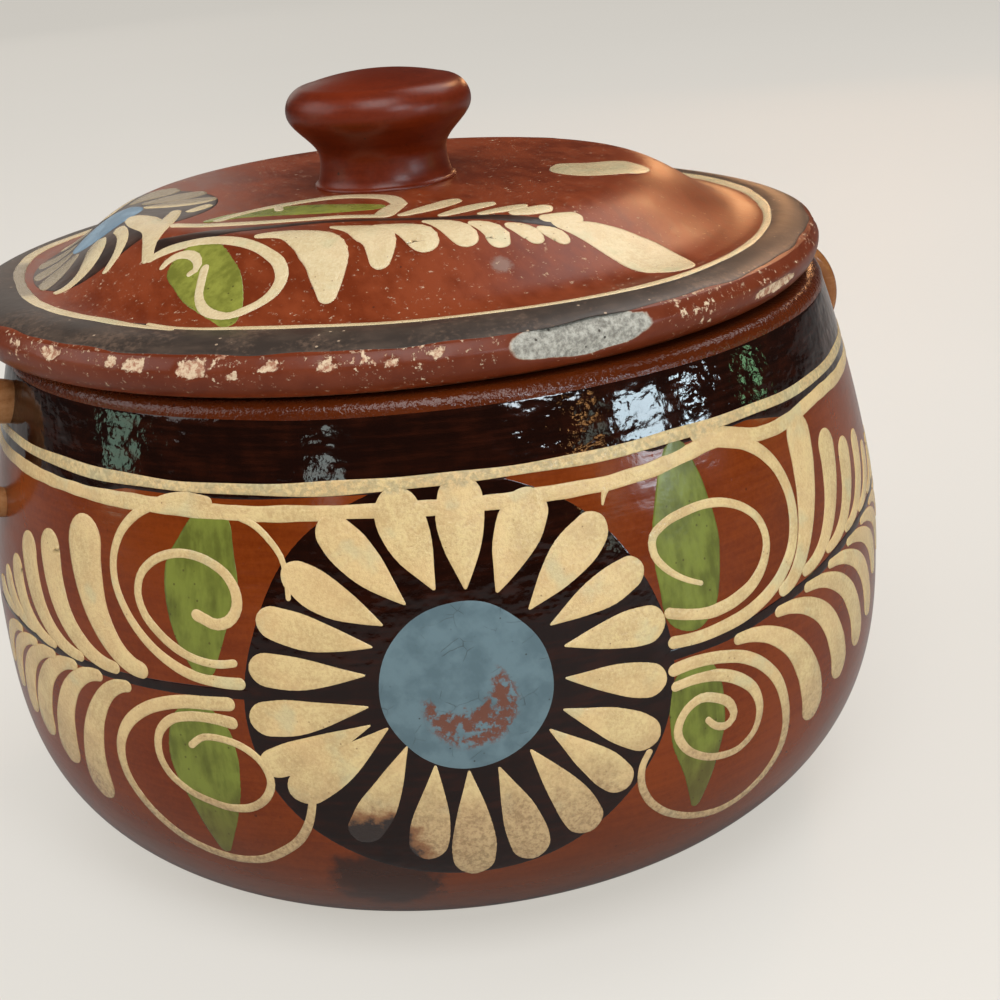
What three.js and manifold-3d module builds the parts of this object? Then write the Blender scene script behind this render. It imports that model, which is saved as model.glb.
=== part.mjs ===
// A lidded casserole dish of slip-painted red clay: a squat pot with a round belly, a loop
// handle luted to each side, and a loose domed lid with a turned knob luted on top.
// Millimetres, +Z up. The origin is the middle of the flat base and the handles lie on X.
import * as THREE from 'three';
import { mergeVertices } from 'three/addons/utils/BufferGeometryUtils.js';
import Module from 'manifold-3d';

// Dish
const rimHeight = 134;
const rimRadius = 101.5;
const rimWidth = 11;
const rimRounding = 2.5;
const mouthRounding = 1.5;
const rimThickening = 12;
const bellyRadius = 114;
const bellyHeight = 70;
const footRadius = 72;
const dishWall = 7;
const dishFloor = 8;

// How full the curves of the pot are: below the belly, and from the belly to the rim
const bowlFullness = 3.2;
const bowlRoundness = 1.5;
const shoulderFall = 1.5;

// Lid
const lidRadius = 107;
const lidEdgeHeight = 9.6;
const lidUndercut = 7;
const lidBorderHeight = 12.8;
const lidBorderWidth = 11;
const lidCrownHeight = 26.8;
const lidCrownRadius = 60;
const lidFlareRadius = 93;
const lidWall = 6.5;
const flangeDepth = 7;
const flangeWidth = 5;

// Knob
const knobFootRadius = 18.4;
const knobStemRadius = 16;
const knobWaistHeight = 6.5;
const knobHeadRadius = 23.5;
const knobHeadHeight = 19;
const knobHeadRounding = 6;
const knobHeight = 27;
const knobCrown = 2.5;

// Handles
const handleWidth = 13;
const handleThickness = 7;
const handleReach = 16.5;
const handleHeight = 33.5;
const handleDrop = 22;
const handleRootWidth = 13;
const handleRootHeight = 16;
const handleRootDrop = 12;
const handleTailWidth = 10;
const handleTailHeight = 10;
const handlePadDepth = 4;

// Clearances
const seatGap = 0.3;
const lutingGap = 0.3;
const flangeClearance = 6.4;
const flangeRunningGap = 0.6;

// The lid lies a little to one side, as far as its flange lets it slide in the mouth
const lidDriftAngle = THREE.MathUtils.degToRad(120);

// Facets
const turns = 60;
const knobTurns = 36;
const padTurns = 16;
const curveSteps = 8;
const roundSteps = 3;
const strapSteps = 14;
const sectionSteps = 7;

// Profile corners nearer than this to the one before are dropped
const leastStep = 0.05;

const mouthRadius = rimRadius - rimWidth;
const flangeRadius = mouthRadius - flangeClearance;
const flangeInnerRadius = flangeRadius - flangeWidth;
const lidDrift = flangeClearance - flangeRunningGap;
const lidSeatHeight = rimHeight + seatGap;
const lidTopHeight = lidSeatHeight + lidCrownHeight;
const handleMidHeight = rimHeight - handleDrop;
const strapRise = (handleHeight - handleThickness) / 2;

const wasm = await Module();
wasm.setup();

// Evenly spaced numbers from one value to another, both ends kept
function spread(from, to, steps) {
  return Array.from({ length: steps + 1 }, (_, i) => from + ((to - from) * i) / steps);
}

// A quarter round from one profile point to another: it sets out upright where upFirst is
// true, and level where it is false
function quarter(from, to, upFirst) {
  return spread(0, Math.PI / 2, roundSteps).map((a) => {
    const across = upFirst ? 1 - Math.cos(a) : Math.sin(a);
    const along = upFirst ? Math.sin(a) : 1 - Math.cos(a);
    return [from[0] + (to[0] - from[0]) * across, from[1] + (to[1] - from[1]) * along];
  });
}

// The pot's outer radius at a height
function outerRadius(z) {
  if (z < bellyHeight) {
    const up = THREE.MathUtils.clamp(z / bellyHeight, 0, 1);
    const fill = Math.pow(1 - Math.pow(1 - up, bowlFullness), 1 / bowlRoundness);
    return footRadius + (bellyRadius - footRadius) * fill;
  }
  const up = (z - bellyHeight) / (rimHeight - bellyHeight);
  return bellyRadius - (bellyRadius - rimRadius) * Math.pow(up, shoulderFall);
}

// The pot's inner radius at a height, between the floor and the thicker rim
function innerRadius(z) {
  if (z < bellyHeight) {
    const up = (z - dishFloor) / (bellyHeight - dishFloor);
    const fill = Math.pow(1 - Math.pow(1 - up, bowlFullness), 1 / bowlRoundness);
    return footRadius - dishWall + (bellyRadius - footRadius) * fill;
  }
  return outerRadius(z) - dishWall;
}

// The lid's top surface above its seat, at a radius: a nearly flat crown that falls in a
// smooth wave to a flat border
function lidRise(r) {
  const border = lidRadius - lidBorderWidth;
  if (r > border) {
    const out = (r - border) / lidBorderWidth;
    return lidBorderHeight - (lidBorderHeight - lidEdgeHeight) * out * out;
  }
  const fall = THREE.MathUtils.clamp((r - lidCrownRadius) / (lidFlareRadius - lidCrownRadius), 0, 1);
  const wave = (1 + Math.cos(Math.PI * fall)) / 2;
  return lidBorderHeight + (lidCrownHeight - lidBorderHeight) * wave;
}

function latheOf(points, steps = turns) {
  const corners = points.map(([r, z]) => new THREE.Vector2(r, z));
  const kept = corners.filter((p, i) => i === 0 || p.distanceTo(corners[i - 1]) > leastStep);
  // A lathe turns about Y, so it is stood up on Z afterwards
  const geometry = new THREE.LatheGeometry(kept, steps);
  geometry.rotateX(Math.PI / 2);
  return geometry;
}

function solidOf(geometry) {
  const bare = geometry.clone();
  bare.deleteAttribute('normal');
  bare.deleteAttribute('uv');
  const merged = mergeVertices(bare, 1e-4);
  const vertProperties = new Float32Array(merged.attributes.position.array);
  const triVerts = new Uint32Array(merged.index.array);
  return new wasm.Manifold(new wasm.Mesh({ numProp: 3, vertProperties, triVerts }));
}

function geometryOf(solid) {
  const mesh = solid.getMesh();
  const geometry = new THREE.BufferGeometry();
  geometry.setAttribute('position', new THREE.BufferAttribute(new Float32Array(mesh.vertProperties), 3));
  geometry.setIndex(new THREE.BufferAttribute(new Uint32Array(mesh.triVerts), 1));
  geometry.computeVertexNormals();
  return geometry;
}

// The outside of the pot, from the foot to just under the rim's rounding
function outerProfile(grow) {
  const low = spread(0, 1, curveSteps).map((t) => bellyHeight * t * t);
  const high = spread(bellyHeight, rimHeight - rimRounding, curveSteps).slice(1);
  return [...low, ...high].map((z) => [outerRadius(z) + grow, z]);
}

function dishGeometry() {
  const outside = outerProfile(0);
  const seatEdge = [outerRadius(rimHeight - rimRounding) - rimRounding, rimHeight];
  const mouthEdge = [mouthRadius + mouthRounding, rimHeight];
  const thickFrom = rimHeight - rimRounding - rimThickening;
  const inner = [
    ...spread(bellyHeight, thickFrom, curveSteps).slice(1).reverse(),
    ...spread(1, 0, curveSteps).map((t) => dishFloor + (bellyHeight - dishFloor) * t * t),
  ];
  return latheOf([
    [0, 0],
    ...outside,
    ...quarter(outside[outside.length - 1], seatEdge, true).slice(1),
    ...quarter(mouthEdge, [mouthRadius, rimHeight - mouthRounding], false),
    ...inner.map((z) => [innerRadius(z), z]),
    [0, dishFloor],
  ]);
}

function lidGeometry() {
  const under = lidRadius - lidUndercut;
  const top = [
    ...spread(lidCrownRadius, lidFlareRadius, curveSteps),
    ...spread(lidRadius - lidBorderWidth, lidRadius - rimRounding / 2, roundSteps),
  ].map((r) => [r, lidRise(r)]);
  const widest = [lidRadius, lidEdgeHeight - rimRounding];
  const hollow = spread(lidCrownRadius, flangeInnerRadius, curveSteps);
  return latheOf([
    [0, lidCrownHeight - lidWall],
    ...hollow.map((r) => [r, lidRise(r) - lidWall]),
    [flangeInnerRadius, -flangeDepth],
    [flangeRadius, -flangeDepth],
    [flangeRadius, 0],
    [under, 0],
    ...quarter([under, 0], widest, false),
    ...top.reverse(),
    [0, lidCrownHeight],
  ]);
}

function knobGeometry() {
  const neck = spread(0, 1, roundSteps + 2).slice(1).map((t) => [
    knobStemRadius + ((knobHeadRadius - knobStemRadius) * (1 - Math.cos(Math.PI * t))) / 2,
    knobWaistHeight + (knobHeadHeight - knobWaistHeight) * t,
  ]);
  const widest = neck[neck.length - 1];
  const brow = [knobHeadRadius - knobHeadRounding, knobHeight - knobCrown];
  return latheOf([
    [0, 0],
    [knobFootRadius, 0],
    ...quarter([knobFootRadius, 0], [knobStemRadius, knobWaistHeight], false).slice(1),
    ...neck,
    ...quarter(widest, brow, true).slice(1),
    [0, knobHeight],
  ], knobTurns);
}

// The strap's middle line at the +X side: out of the upper root, round, and back in
function strapPath() {
  const bendStart = outerRadius(handleMidHeight);
  const reach = handleReach - handleThickness / 2;
  const buried = (height) => new THREE.Vector3(outerRadius(height) - dishWall, 0, height);
  const bend = spread(Math.PI / 2, -Math.PI / 2, curveSteps).map((a) => {
    const height = handleMidHeight + strapRise * Math.sin(a);
    return new THREE.Vector3(bendStart + reach * Math.cos(a), 0, height);
  });
  const points = [
    buried(handleMidHeight + strapRise),
    ...bend,
    buried(handleMidHeight - strapRise),
  ];
  return new THREE.CatmullRomCurve3(points, false, 'centripetal');
}

// A thumb-pressed pad where the strap meets the wall
function padSolid(width, tall, height) {
  const pad = new THREE.SphereGeometry(1, padTurns, padTurns / 2);
  pad.scale(handlePadDepth, width / 2, tall / 2);
  pad.translate(outerRadius(height), 0, height);
  return solidOf(pad);
}

function handleGeometry() {
  const section = new THREE.Shape();
  section.absellipse(0, 0, handleWidth / 2, handleThickness / 2, 0, Math.PI * 2);
  const strap = solidOf(new THREE.ExtrudeGeometry(section, {
    steps: strapSteps,
    curveSegments: sectionSteps,
    bevelEnabled: false,
    extrudePath: strapPath(),
  }));
  const root = padSolid(handleRootWidth, handleRootHeight, rimHeight - handleRootDrop);
  const tail = padSolid(handleTailWidth, handleTailHeight, handleMidHeight - strapRise);
  const above = rimHeight + lutingGap;
  const pot = solidOf(latheOf([
    [0, 0],
    ...outerProfile(lutingGap),
    [outerRadius(rimHeight - rimRounding) + lutingGap, above],
    [0, above],
  ]));
  return geometryOf(strap.add(root).add(tail).subtract(pot));
}

function clay(color, roughness) {
  return new THREE.MeshStandardMaterial({ color, roughness, metalness: 0 });
}

function named(name, geometry, material) {
  const mesh = new THREE.Mesh(geometry, material);
  mesh.name = name;
  return mesh;
}

const casserole = new THREE.Group();

casserole.add(named('dish_body', dishGeometry(), clay(0x7a3414, 0.25)));

const handle = handleGeometry();
[['handle_right', 0], ['handle_left', Math.PI]].forEach(([name, turn]) => {
  const mesh = named(name, handle, clay(0x8a4320, 0.3));
  mesh.rotation.z = turn;
  casserole.add(mesh);
});

const lid = new THREE.Group();
lid.position.set(lidDrift * Math.cos(lidDriftAngle), lidDrift * Math.sin(lidDriftAngle), 0);
casserole.add(lid);

const lidBody = named('lid_body', lidGeometry(), clay(0x8c3c23, 0.45));
lidBody.position.z = lidSeatHeight;
lid.add(lidBody);

const knob = named('lid_knob', knobGeometry(), clay(0x5e2412, 0.2));
knob.position.z = lidTopHeight + lutingGap;
lid.add(knob);

export default casserole;
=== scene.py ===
# %% [markdown]
# A lidded casserole dish of slip-painted red clay
#
# The real dish is thrown on a wheel, brushed with coloured slips (thin clay the colour of cream,
# leaf, smoke blue and soot), and fired under a clear glaze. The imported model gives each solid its
# true size and place. This script dresses it: fine skins for the clay, raised brush strokes for
# the slip, and a finish for every surface.

# %% Load the fixed frame
import math

import bpy
import numpy as np
from mathutils import Matrix, Vector


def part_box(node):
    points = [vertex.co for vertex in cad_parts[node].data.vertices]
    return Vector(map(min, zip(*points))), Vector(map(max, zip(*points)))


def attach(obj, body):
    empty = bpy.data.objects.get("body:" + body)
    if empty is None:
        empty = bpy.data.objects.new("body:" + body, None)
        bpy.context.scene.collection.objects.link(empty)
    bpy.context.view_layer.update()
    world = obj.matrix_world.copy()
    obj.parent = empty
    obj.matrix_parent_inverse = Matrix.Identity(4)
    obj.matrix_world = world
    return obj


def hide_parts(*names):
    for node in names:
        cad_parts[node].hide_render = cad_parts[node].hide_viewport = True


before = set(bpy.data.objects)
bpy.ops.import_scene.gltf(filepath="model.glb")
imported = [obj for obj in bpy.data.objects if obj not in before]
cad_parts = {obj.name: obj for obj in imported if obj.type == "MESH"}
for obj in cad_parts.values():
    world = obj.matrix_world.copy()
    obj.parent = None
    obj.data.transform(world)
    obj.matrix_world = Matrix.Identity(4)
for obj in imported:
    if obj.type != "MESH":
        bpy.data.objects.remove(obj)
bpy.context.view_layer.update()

# %% [markdown]
# Sizes of the clay
#
# Each fine skin repeats the curve of the solid that it replaces. The driving sizes are read from
# the frame where it holds them (rim height, belly and lid radius), and the rest are the potter's
# own measures. Everything is worked out in millimetres and turned into metres at the very end.
# The clay lies `clay_inset` inside the solid, so that the raised slip still fits in the box.

# %% Sizes in millimetres
mm = 0.001


def box_mm(node):
    """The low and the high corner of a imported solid's box."""
    low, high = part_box(node)
    return np.array(low) / mm, np.array(high) / mm


dish_high = box_mm("dish_body")[1]
lid_low, lid_high = box_mm("lid_body")

clay_inset = 0.35
rim_height = dish_high[2]
belly_radius = dish_high[1] - clay_inset
belly_height = 70.0
solid_rim_radius = 101.5
rim_radius = solid_rim_radius - clay_inset
solid_foot_radius = 72.0
foot_radius = solid_foot_radius - clay_inset
bowl_fullness = 3.2
bowl_roundness = 1.5
shoulder_fall = 1.5

lid_radius = (lid_high[0] - lid_low[0]) / 2 - clay_inset
lid_centre = (lid_high[:2] + lid_low[:2]) / 2
flange_drop = 7.0
lid_seat = lid_low[2] + flange_drop
lid_edge_height = 9.6 - clay_inset
lid_border_height = 12.8 - clay_inset
lid_border_radius = 96.0
lid_crown_height = lid_high[2] - lid_seat - clay_inset
lid_crown_radius = 60.0
lid_flare_radius = 93.0
print("belly %.1f, rim at %.1f, lid centre %s" % (belly_radius, rim_height, lid_centre.round(2)))

# %% [markdown]
# The two painted surfaces
#
# Everything that the painter put on the pot lies on one of two surfaces. A place on the dish is
# given as the painter sees it: the distance round the pot from the flower's middle line, measured
# at a radius of 110 mm, and the height. A place on the lid is given across and away, as seen from
# the front of the flower. Both surfaces are functions of such a place and of a height above the
# clay, so a stroke made in the flat follows the curve of the pot by itself.

# %% The dish's surface
flower_turn = math.radians(-18.9)
arc_radius = 110.0


def bowl_swell(up):
    """How far the bowl has widened on its way up to the belly: (1 - (1 - up)^fullness)^(1 /
    roundness), from 0 to 1."""
    return (1 - (1 - up) ** bowl_fullness) ** (1 / bowl_roundness)


def outer_radius(z):
    """The outside of the pot. Below the belly it is foot + (belly - foot) * swell, and above it
    belly - (belly - rim) * (share of the way to the rim)^1.5."""
    z = np.asarray(z, float)
    low = foot_radius + (belly_radius - foot_radius) * bowl_swell(np.clip(z / belly_height, 0, 1))
    above = np.clip((z - belly_height) / (rim_height - belly_height), 0, 1)
    high = belly_radius - (belly_radius - rim_radius) * above**shoulder_fall
    return np.where(z < belly_height, low, high)


def on_dish(place, lift, turn=0.0):
    """A place (arc, height) and a lift off the clay become a point: the arc is an angle round Z
    from the flower's line, and the lift is square to the surface's own slope."""
    arc, z = place[..., 0], place[..., 1]
    angle = flower_turn + turn + arc / arc_radius
    slope = outer_radius(z + 0.5) - outer_radius(z - 0.5)
    steep = np.sqrt(1 + slope**2)
    r = outer_radius(z) + lift / steep
    return np.stack([r * np.sin(angle), -r * np.cos(angle), z - lift * slope / steep], -1)


print("radius at foot, belly, rim:", outer_radius([0, belly_height, rim_height]).round(2))

# %% The lid's surface
lid_turn = math.radians(-20.0)


def lid_rise(r):
    """The lid's top above its seat: a crown, half a cosine wave down to the border, and a border
    that falls with the square of the way out."""
    r = np.asarray(r, float)
    out = np.clip((r - lid_border_radius) / (lid_radius - lid_border_radius), 0, 1)
    fall = np.clip((r - lid_crown_radius) / (lid_flare_radius - lid_crown_radius), 0, 1)
    wave = (1 + np.cos(np.pi * fall)) / 2
    border = lid_border_height - (lid_border_height - lid_edge_height) * out**2
    return border + (lid_crown_height - lid_border_height) * wave


def edge_sway(x, y):
    """The hand-shaped edge isn't level: three slow waves of a quarter millimetre, from r = 80."""
    grow = np.clip((np.hypot(x, y) - 80) / 20, 0, 1) ** 2
    a = np.arctan2(y, x)
    return grow * (0.16 * np.sin(2 * a + 0.6) + 0.10 * np.sin(5 * a + 2.0) + 0.06 * np.sin(9 * a))


def seat_lid(x, y, z, turn=0.0):
    """Turns a point of the lid about the lid's middle, and moves it to where the lid sits."""
    c, s = math.cos(lid_turn + turn), math.sin(lid_turn + turn)
    return np.stack([c * x - s * y + lid_centre[0], s * x + c * y + lid_centre[1],
                     z + lid_seat], -1)


def on_lid(place, lift, turn=0.0):
    """A place (across, away) and a lift square to the slope become a point on top of the lid."""
    x, y = place[..., 0], place[..., 1]
    r = np.hypot(x, y)
    slope = lid_rise(r + 0.5) - lid_rise(r - 0.5)
    steep = np.sqrt(1 + slope**2)
    drawn_in = 1 - lift * slope / steep / np.maximum(r, 1e-6)
    z = lid_rise(r) + edge_sway(x, y) + lift / steep
    return seat_lid(x * drawn_in, y * drawn_in, z, turn)


print("rise of middle, border, edge:", lid_rise([0, lid_border_radius, lid_radius]).round(2))

# %% [markdown]
# From grids to meshes
#
# Every new piece is a grid of points: rings of points, one after another. `skin` closes such a
# grid. A ring that has shrunk to one point becomes a pole, and a grid whose last ring meets the
# first becomes a hoop. Its volume tells which way its faces look, and it is turned inside out if
# they look inwards. Many skins can share one mesh, and each row keeps the number of its finish.

# %% Closing a grid of points
def skin(rows, hoop=False, finish=0, brush=None):
    """Closes n rings of m points: quads between neighbouring rings, and triangles on the poles.
    Six times its volume is the sum of a . (b x c) over its triangles; below 0 it is turned."""
    n, m = rows.shape[:2]
    following = (np.arange(m) + 1) % m
    finish = np.broadcast_to(finish, n)
    brush = np.zeros((n, m, 3)) if brush is None else brush
    if hoop:
        index = np.arange(n * m).reshape(n, m)
        below, above = index, np.roll(index, -1, axis=0)
        points, brush = rows.reshape(-1, 3), brush.reshape(-1, 3)
        caps, cap_finish = np.zeros((0, 3), int), np.zeros(0, int)
        quad_finish = np.repeat(finish, m)
    else:
        index = 1 + np.arange((n - 2) * m).reshape(n - 2, m)
        below, above = index[:-1], index[1:]
        points, brush = (np.concatenate([grid[:1, 0], grid[1:-1].reshape(-1, 3), grid[-1:, 0]])
                         for grid in (rows, brush))
        first, last, last_pole = index[0], index[-1], len(points) - 1
        start = np.stack([np.zeros(m, int), first[following], first], -1)
        end = np.stack([np.full(m, last_pole), last, last[following]], -1)
        caps = np.concatenate([start, end])
        cap_finish = np.repeat([finish[0], finish[-1]], m)
        quad_finish = np.repeat(finish[1:-2], m)
    quads = np.stack([below, below[:, following], above[:, following], above], -1).reshape(-1, 4)
    a, b, c, d = (points[quads[:, k]] for k in range(4))
    volume = np.einsum("ij,ij->", a, np.cross(b, c)) + np.einsum("ij,ij->", a, np.cross(c, d))
    if volume < 0:
        quads, caps = quads[:, ::-1], caps[:, ::-1]
    return {"points": points, "quads": quads, "caps": caps, "brush": brush,
            "finish": np.concatenate([quad_finish, cap_finish])}

# %% Making one object of many skins
def build(name, skins, materials):
    """Puts skins, given in millimetres, into one smooth mesh in metres."""
    points, brush, loops, sizes, finish, base = [], [], [], [], [], 0
    for part in skins:
        points.append(part["points"])
        brush.append(part["brush"])
        loops += [(part["quads"] + base).ravel(), (part["caps"] + base).ravel()]
        sizes += [np.full(len(part["quads"]), 4), np.full(len(part["caps"]), 3)]
        finish.append(part["finish"])
        base += len(part["points"])
    points, brush = np.concatenate(points) * mm, np.concatenate(brush)
    loops, sizes, finish = np.concatenate(loops), np.concatenate(sizes), np.concatenate(finish)
    mesh = bpy.data.meshes.new(name)
    mesh.vertices.add(len(points))
    mesh.vertices.foreach_set("co", points.ravel())
    mesh.loops.add(len(loops))
    mesh.loops.foreach_set("vertex_index", loops)
    mesh.polygons.add(len(sizes))
    mesh.polygons.foreach_set("loop_start", np.concatenate([[0], np.cumsum(sizes)[:-1]]))
    mesh.polygons.foreach_set("material_index", finish)
    mesh.polygons.foreach_set("use_smooth", np.ones(len(sizes), bool))
    layer = mesh.attributes.new("brush", "FLOAT_VECTOR", "POINT")
    layer.data.foreach_set("vector", brush.ravel())
    mesh.update(calc_edges=True)
    mesh.validate()
    for material in materials:
        mesh.materials.append(material)
    piece = bpy.data.objects.new(name, mesh)
    bpy.context.scene.collection.objects.link(piece)
    triangles = int((sizes - 2).sum())
    print("%-20s %6d triangles" % (name, triangles))
    return piece

# %% [markdown]
# Shader maths as plain expressions
#
# A material is easier to read as a formula than as a web of nodes. `Wire` stands for one output
# of a node, and its operators add Math nodes. `Nodes` holds the nodes of a material or of the
# world: its method `node` takes a node's type, then its settings, then its inputs. `Paint` is one
# material, and knows the place on the object.

# %% Arithmetic on a node's output
class Wire:
    """One output of a shader node. Operators on it add Math nodes beside it."""

    def __init__(self, nodes, socket):
        self.nodes = nodes
        self.socket = socket

    def __add__(self, other):
        return self.nodes.math("ADD", self, other)

    def __sub__(self, other):
        return self.nodes.math("SUBTRACT", self, other)

    def __rsub__(self, other):
        return self.nodes.math("SUBTRACT", other, self)

    def __mul__(self, other):
        return self.nodes.math("MULTIPLY", self, other)

# %% The nodes of a material or of the world
class Nodes:
    """An empty tree of shader nodes, to be filled."""

    def __init__(self, owner):
        owner.use_nodes = True
        self.tree = owner.node_tree
        self.tree.nodes.clear()

    def node(self, kind, settings=(), inputs=(), out=0):
        """Adds a node: its settings first, then the values or wires it takes."""
        node = self.tree.nodes.new(kind)
        for key, value in dict(settings).items():
            setattr(node, key, value)
        for key, value in dict(inputs).items():
            socket = node.inputs[key]
            if isinstance(value, Wire):
                self.tree.links.new(value.socket, socket)
            elif socket.type == "RGBA":
                socket.default_value = (*value, 1)
            else:
                socket.default_value = value
        return Wire(self, node.outputs[out])

    def math(self, operation, *values):
        """A Math node on wires or numbers."""
        return self.node("ShaderNodeMath", {"operation": operation}, dict(enumerate(values)))

    def end(self, shader, kind="Material"):
        """Links a shader to the output of a Material or a World."""
        output = self.tree.nodes.new("ShaderNodeOutput" + kind)
        self.tree.links.new(shader.socket, output.inputs["Surface"])

# %% A paint for each finish
class Paint(Nodes):
    """One material's nodes, with the place on the object in millimetres."""

    def __init__(self, name):
        self.material = bpy.data.materials.new(name)
        super().__init__(self.material)
        coordinates = self.node("ShaderNodeTexCoord", out="Object")
        self.at = self.vector("SCALE", coordinates, Scale=1 / mm)
        self.z = self.part(self.at, "Z")

    def vector(self, operation, *values, **named):
        """A Vector Math node. A length or a distance is its second output, a number."""
        out = 1 if operation in ("LENGTH", "DISTANCE") else 0
        return self.node("ShaderNodeVectorMath", {"operation": operation},
                         {**dict(enumerate(values)), **named}, out)

    def part(self, vector, axis):
        """The X, Y or Z of a vector."""
        return self.node("ShaderNodeSeparateXYZ", (), {0: vector}, "XYZ".index(axis))

    def brush(self):
        """The attribute of the mesh: along and across the stroke, or how deep a chip is."""
        return self.node("ShaderNodeAttribute", {"attribute_name": "brush"}, out="Vector")

    def noise(self, size, detail=3.0, roughness=0.5, stretch=(1, 1, 1), shift=0.0):
        """Cloudy noise from 0 to 1 with features about `size` mm across, drawn out by stretch."""
        scale = [1 / (size * s) for s in stretch]
        place = self.vector("MULTIPLY_ADD", self.at, scale, (shift, shift, shift))
        return self.node("ShaderNodeTexNoise", {"noise_dimensions": "3D"},
                         {"Vector": place, "Scale": 1.0, "Detail": detail,
                          "Roughness": roughness})

    def cells(self, size, feature="F1", at=None):
        """The distance to the nearest of scattered points about `size` mm apart, or to the
        border between their cells."""
        place = self.vector("SCALE", at or self.at, Scale=1 / size)
        return self.node("ShaderNodeTexVoronoi", {"feature": feature},
                         {"Vector": place, "Scale": 1.0, "Randomness": 1.0}, "Distance")

    def step(self, value, start, end):
        """0 before start, 1 after end, and a smooth rise between them. It may also fall."""
        return self.node("ShaderNodeMapRange", {"interpolation_type": "SMOOTHSTEP"},
                         {"Value": value, "From Min": start, "From Max": end})

    def patches(self, size, detail, start, end, roughness=0.5, shift=0.0):
        """Patches with soft edges: cloudy noise, stepped from start to end."""
        return self.step(self.noise(size, detail, roughness, shift=shift), start, end)

    def dots(self, size, rim, core):
        """Round dots about `size` mm apart: 1 within `core` of a point and 0 beyond `rim`, both
        as shares of the size."""
        return self.step(self.cells(size), rim, core)

    def mix(self, factor, first, second):
        """The first colour, then the second as the factor rises."""
        return self.node("ShaderNodeMix", {"data_type": "RGBA"},
                         {0: factor, 6: first, 7: second}, 2)

    def bump(self, height):
        """A normal from a height in millimetres."""
        return self.node("ShaderNodeBump", (), {"Height": height, "Strength": 1.0,
                                                "Distance": mm})

    def finish(self, **inputs):
        """Ends in a Principled shader, whose inputs are named with _ for a space."""
        named = {key.replace("_", " "): value for key, value in inputs.items()}
        self.end(self.node("ShaderNodeBsdfPrincipled", (), named))
        print("%-14s %3d nodes" % (self.material.name, len(self.tree.nodes)))
        return self.material

# %% [markdown]
# The potter's brush
#
# Slip is thick, so a dry stroke stands a quarter of a millimetre proud, with a soft edge. It could
# be painted as a colour mask in the material, but then it would catch no light. Here each stroke
# is a solid: a lens-shaped section carried along a smooth path, and buried a little in the clay.
# Its width follows the pressure of the brush, and a seeded wobble keeps both edges from being
# perfect. Discs of slip are made in the same way on a polar grid.

# %% Smooth paths
def smooth(points, t):
    """The curve through all the points. Between two of them it is the cubic whose slope at each
    is the slope of the line between its neighbours. t goes from 0 to 1 along the whole curve."""
    p = np.asarray(points, float)
    gap = np.maximum(np.linalg.norm(np.diff(p, axis=0), axis=1), 1e-9)
    knot = np.concatenate([[0], np.cumsum(gap)]) / gap.sum()
    slope = np.gradient(p, knot, axis=0)
    i = np.clip(np.searchsorted(knot, t, side="right") - 1, 0, len(p) - 2)
    h = (knot[i + 1] - knot[i])[:, None]
    u = (t - knot[i])[:, None] / h
    start = (1 + 2 * u) * (1 - u) ** 2 * p[i] + u * (1 - u) ** 2 * h * slope[i]
    return start + u * u * (3 - 2 * u) * p[i + 1] + u * u * (u - 1) * h * slope[i + 1]


def evenly(values, t, scale=1.0):
    """The smooth curve through values spaced evenly in t. `smooth` spaces its points by their
    distance, so big values are divided by a scale first and multiplied by it after."""
    share = np.linspace(0, 1, len(values))
    return smooth(np.stack([share, np.asarray(values, float) / scale], -1), t)[:, 1] * scale


def hand(t, waves, dice):
    """A slow wander from -1 to 1: a smooth curve through `waves` random heights."""
    return evenly(dice.uniform(-1, 1, waves), t)


print("half way along a smooth bend:", smooth([(0, 0), (3, 4), (8, 4)], np.array([0.5])).round(2))

# %% Where a stroke has its rings
stroke_step = 1.3
stroke_count = 0


def next_dice():
    """The dice of the next stroke, seeded with its number."""
    global stroke_count
    stroke_count += 1
    return np.random.default_rng(stroke_count)


def ring_shares(length, caps):
    """Shares t of the length that have a ring. They are even on a long stroke, and closer at the
    ends of a short one, where t becomes (1 - cos(180 t)) / 4 + t / 2. Each round end gets seven
    more, 1 - cos(angle) of its cap, so that it is round however short the stroke is."""
    t = np.linspace(0, 1, int(np.clip(length / stroke_step, 9, 620)))
    t = t if length >= 60 else (1 - np.cos(np.pi * t)) / 4 + t / 2
    tip, tail = caps[0] / length, caps[1] / length
    round_in = 1 - np.cos(np.linspace(0, np.pi / 2, 7))
    between = t[(t > tip) & (t < 1 - tail)]
    return np.concatenate([tip * round_in, between, 1 - tail * round_in[::-1]])


print("a stroke 20 mm long has %d rings" % len(ring_shares(20, (1, 1))))

# %% A stroke of slip
slip_depth = 0.25
edge_sink = 0.02


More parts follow.
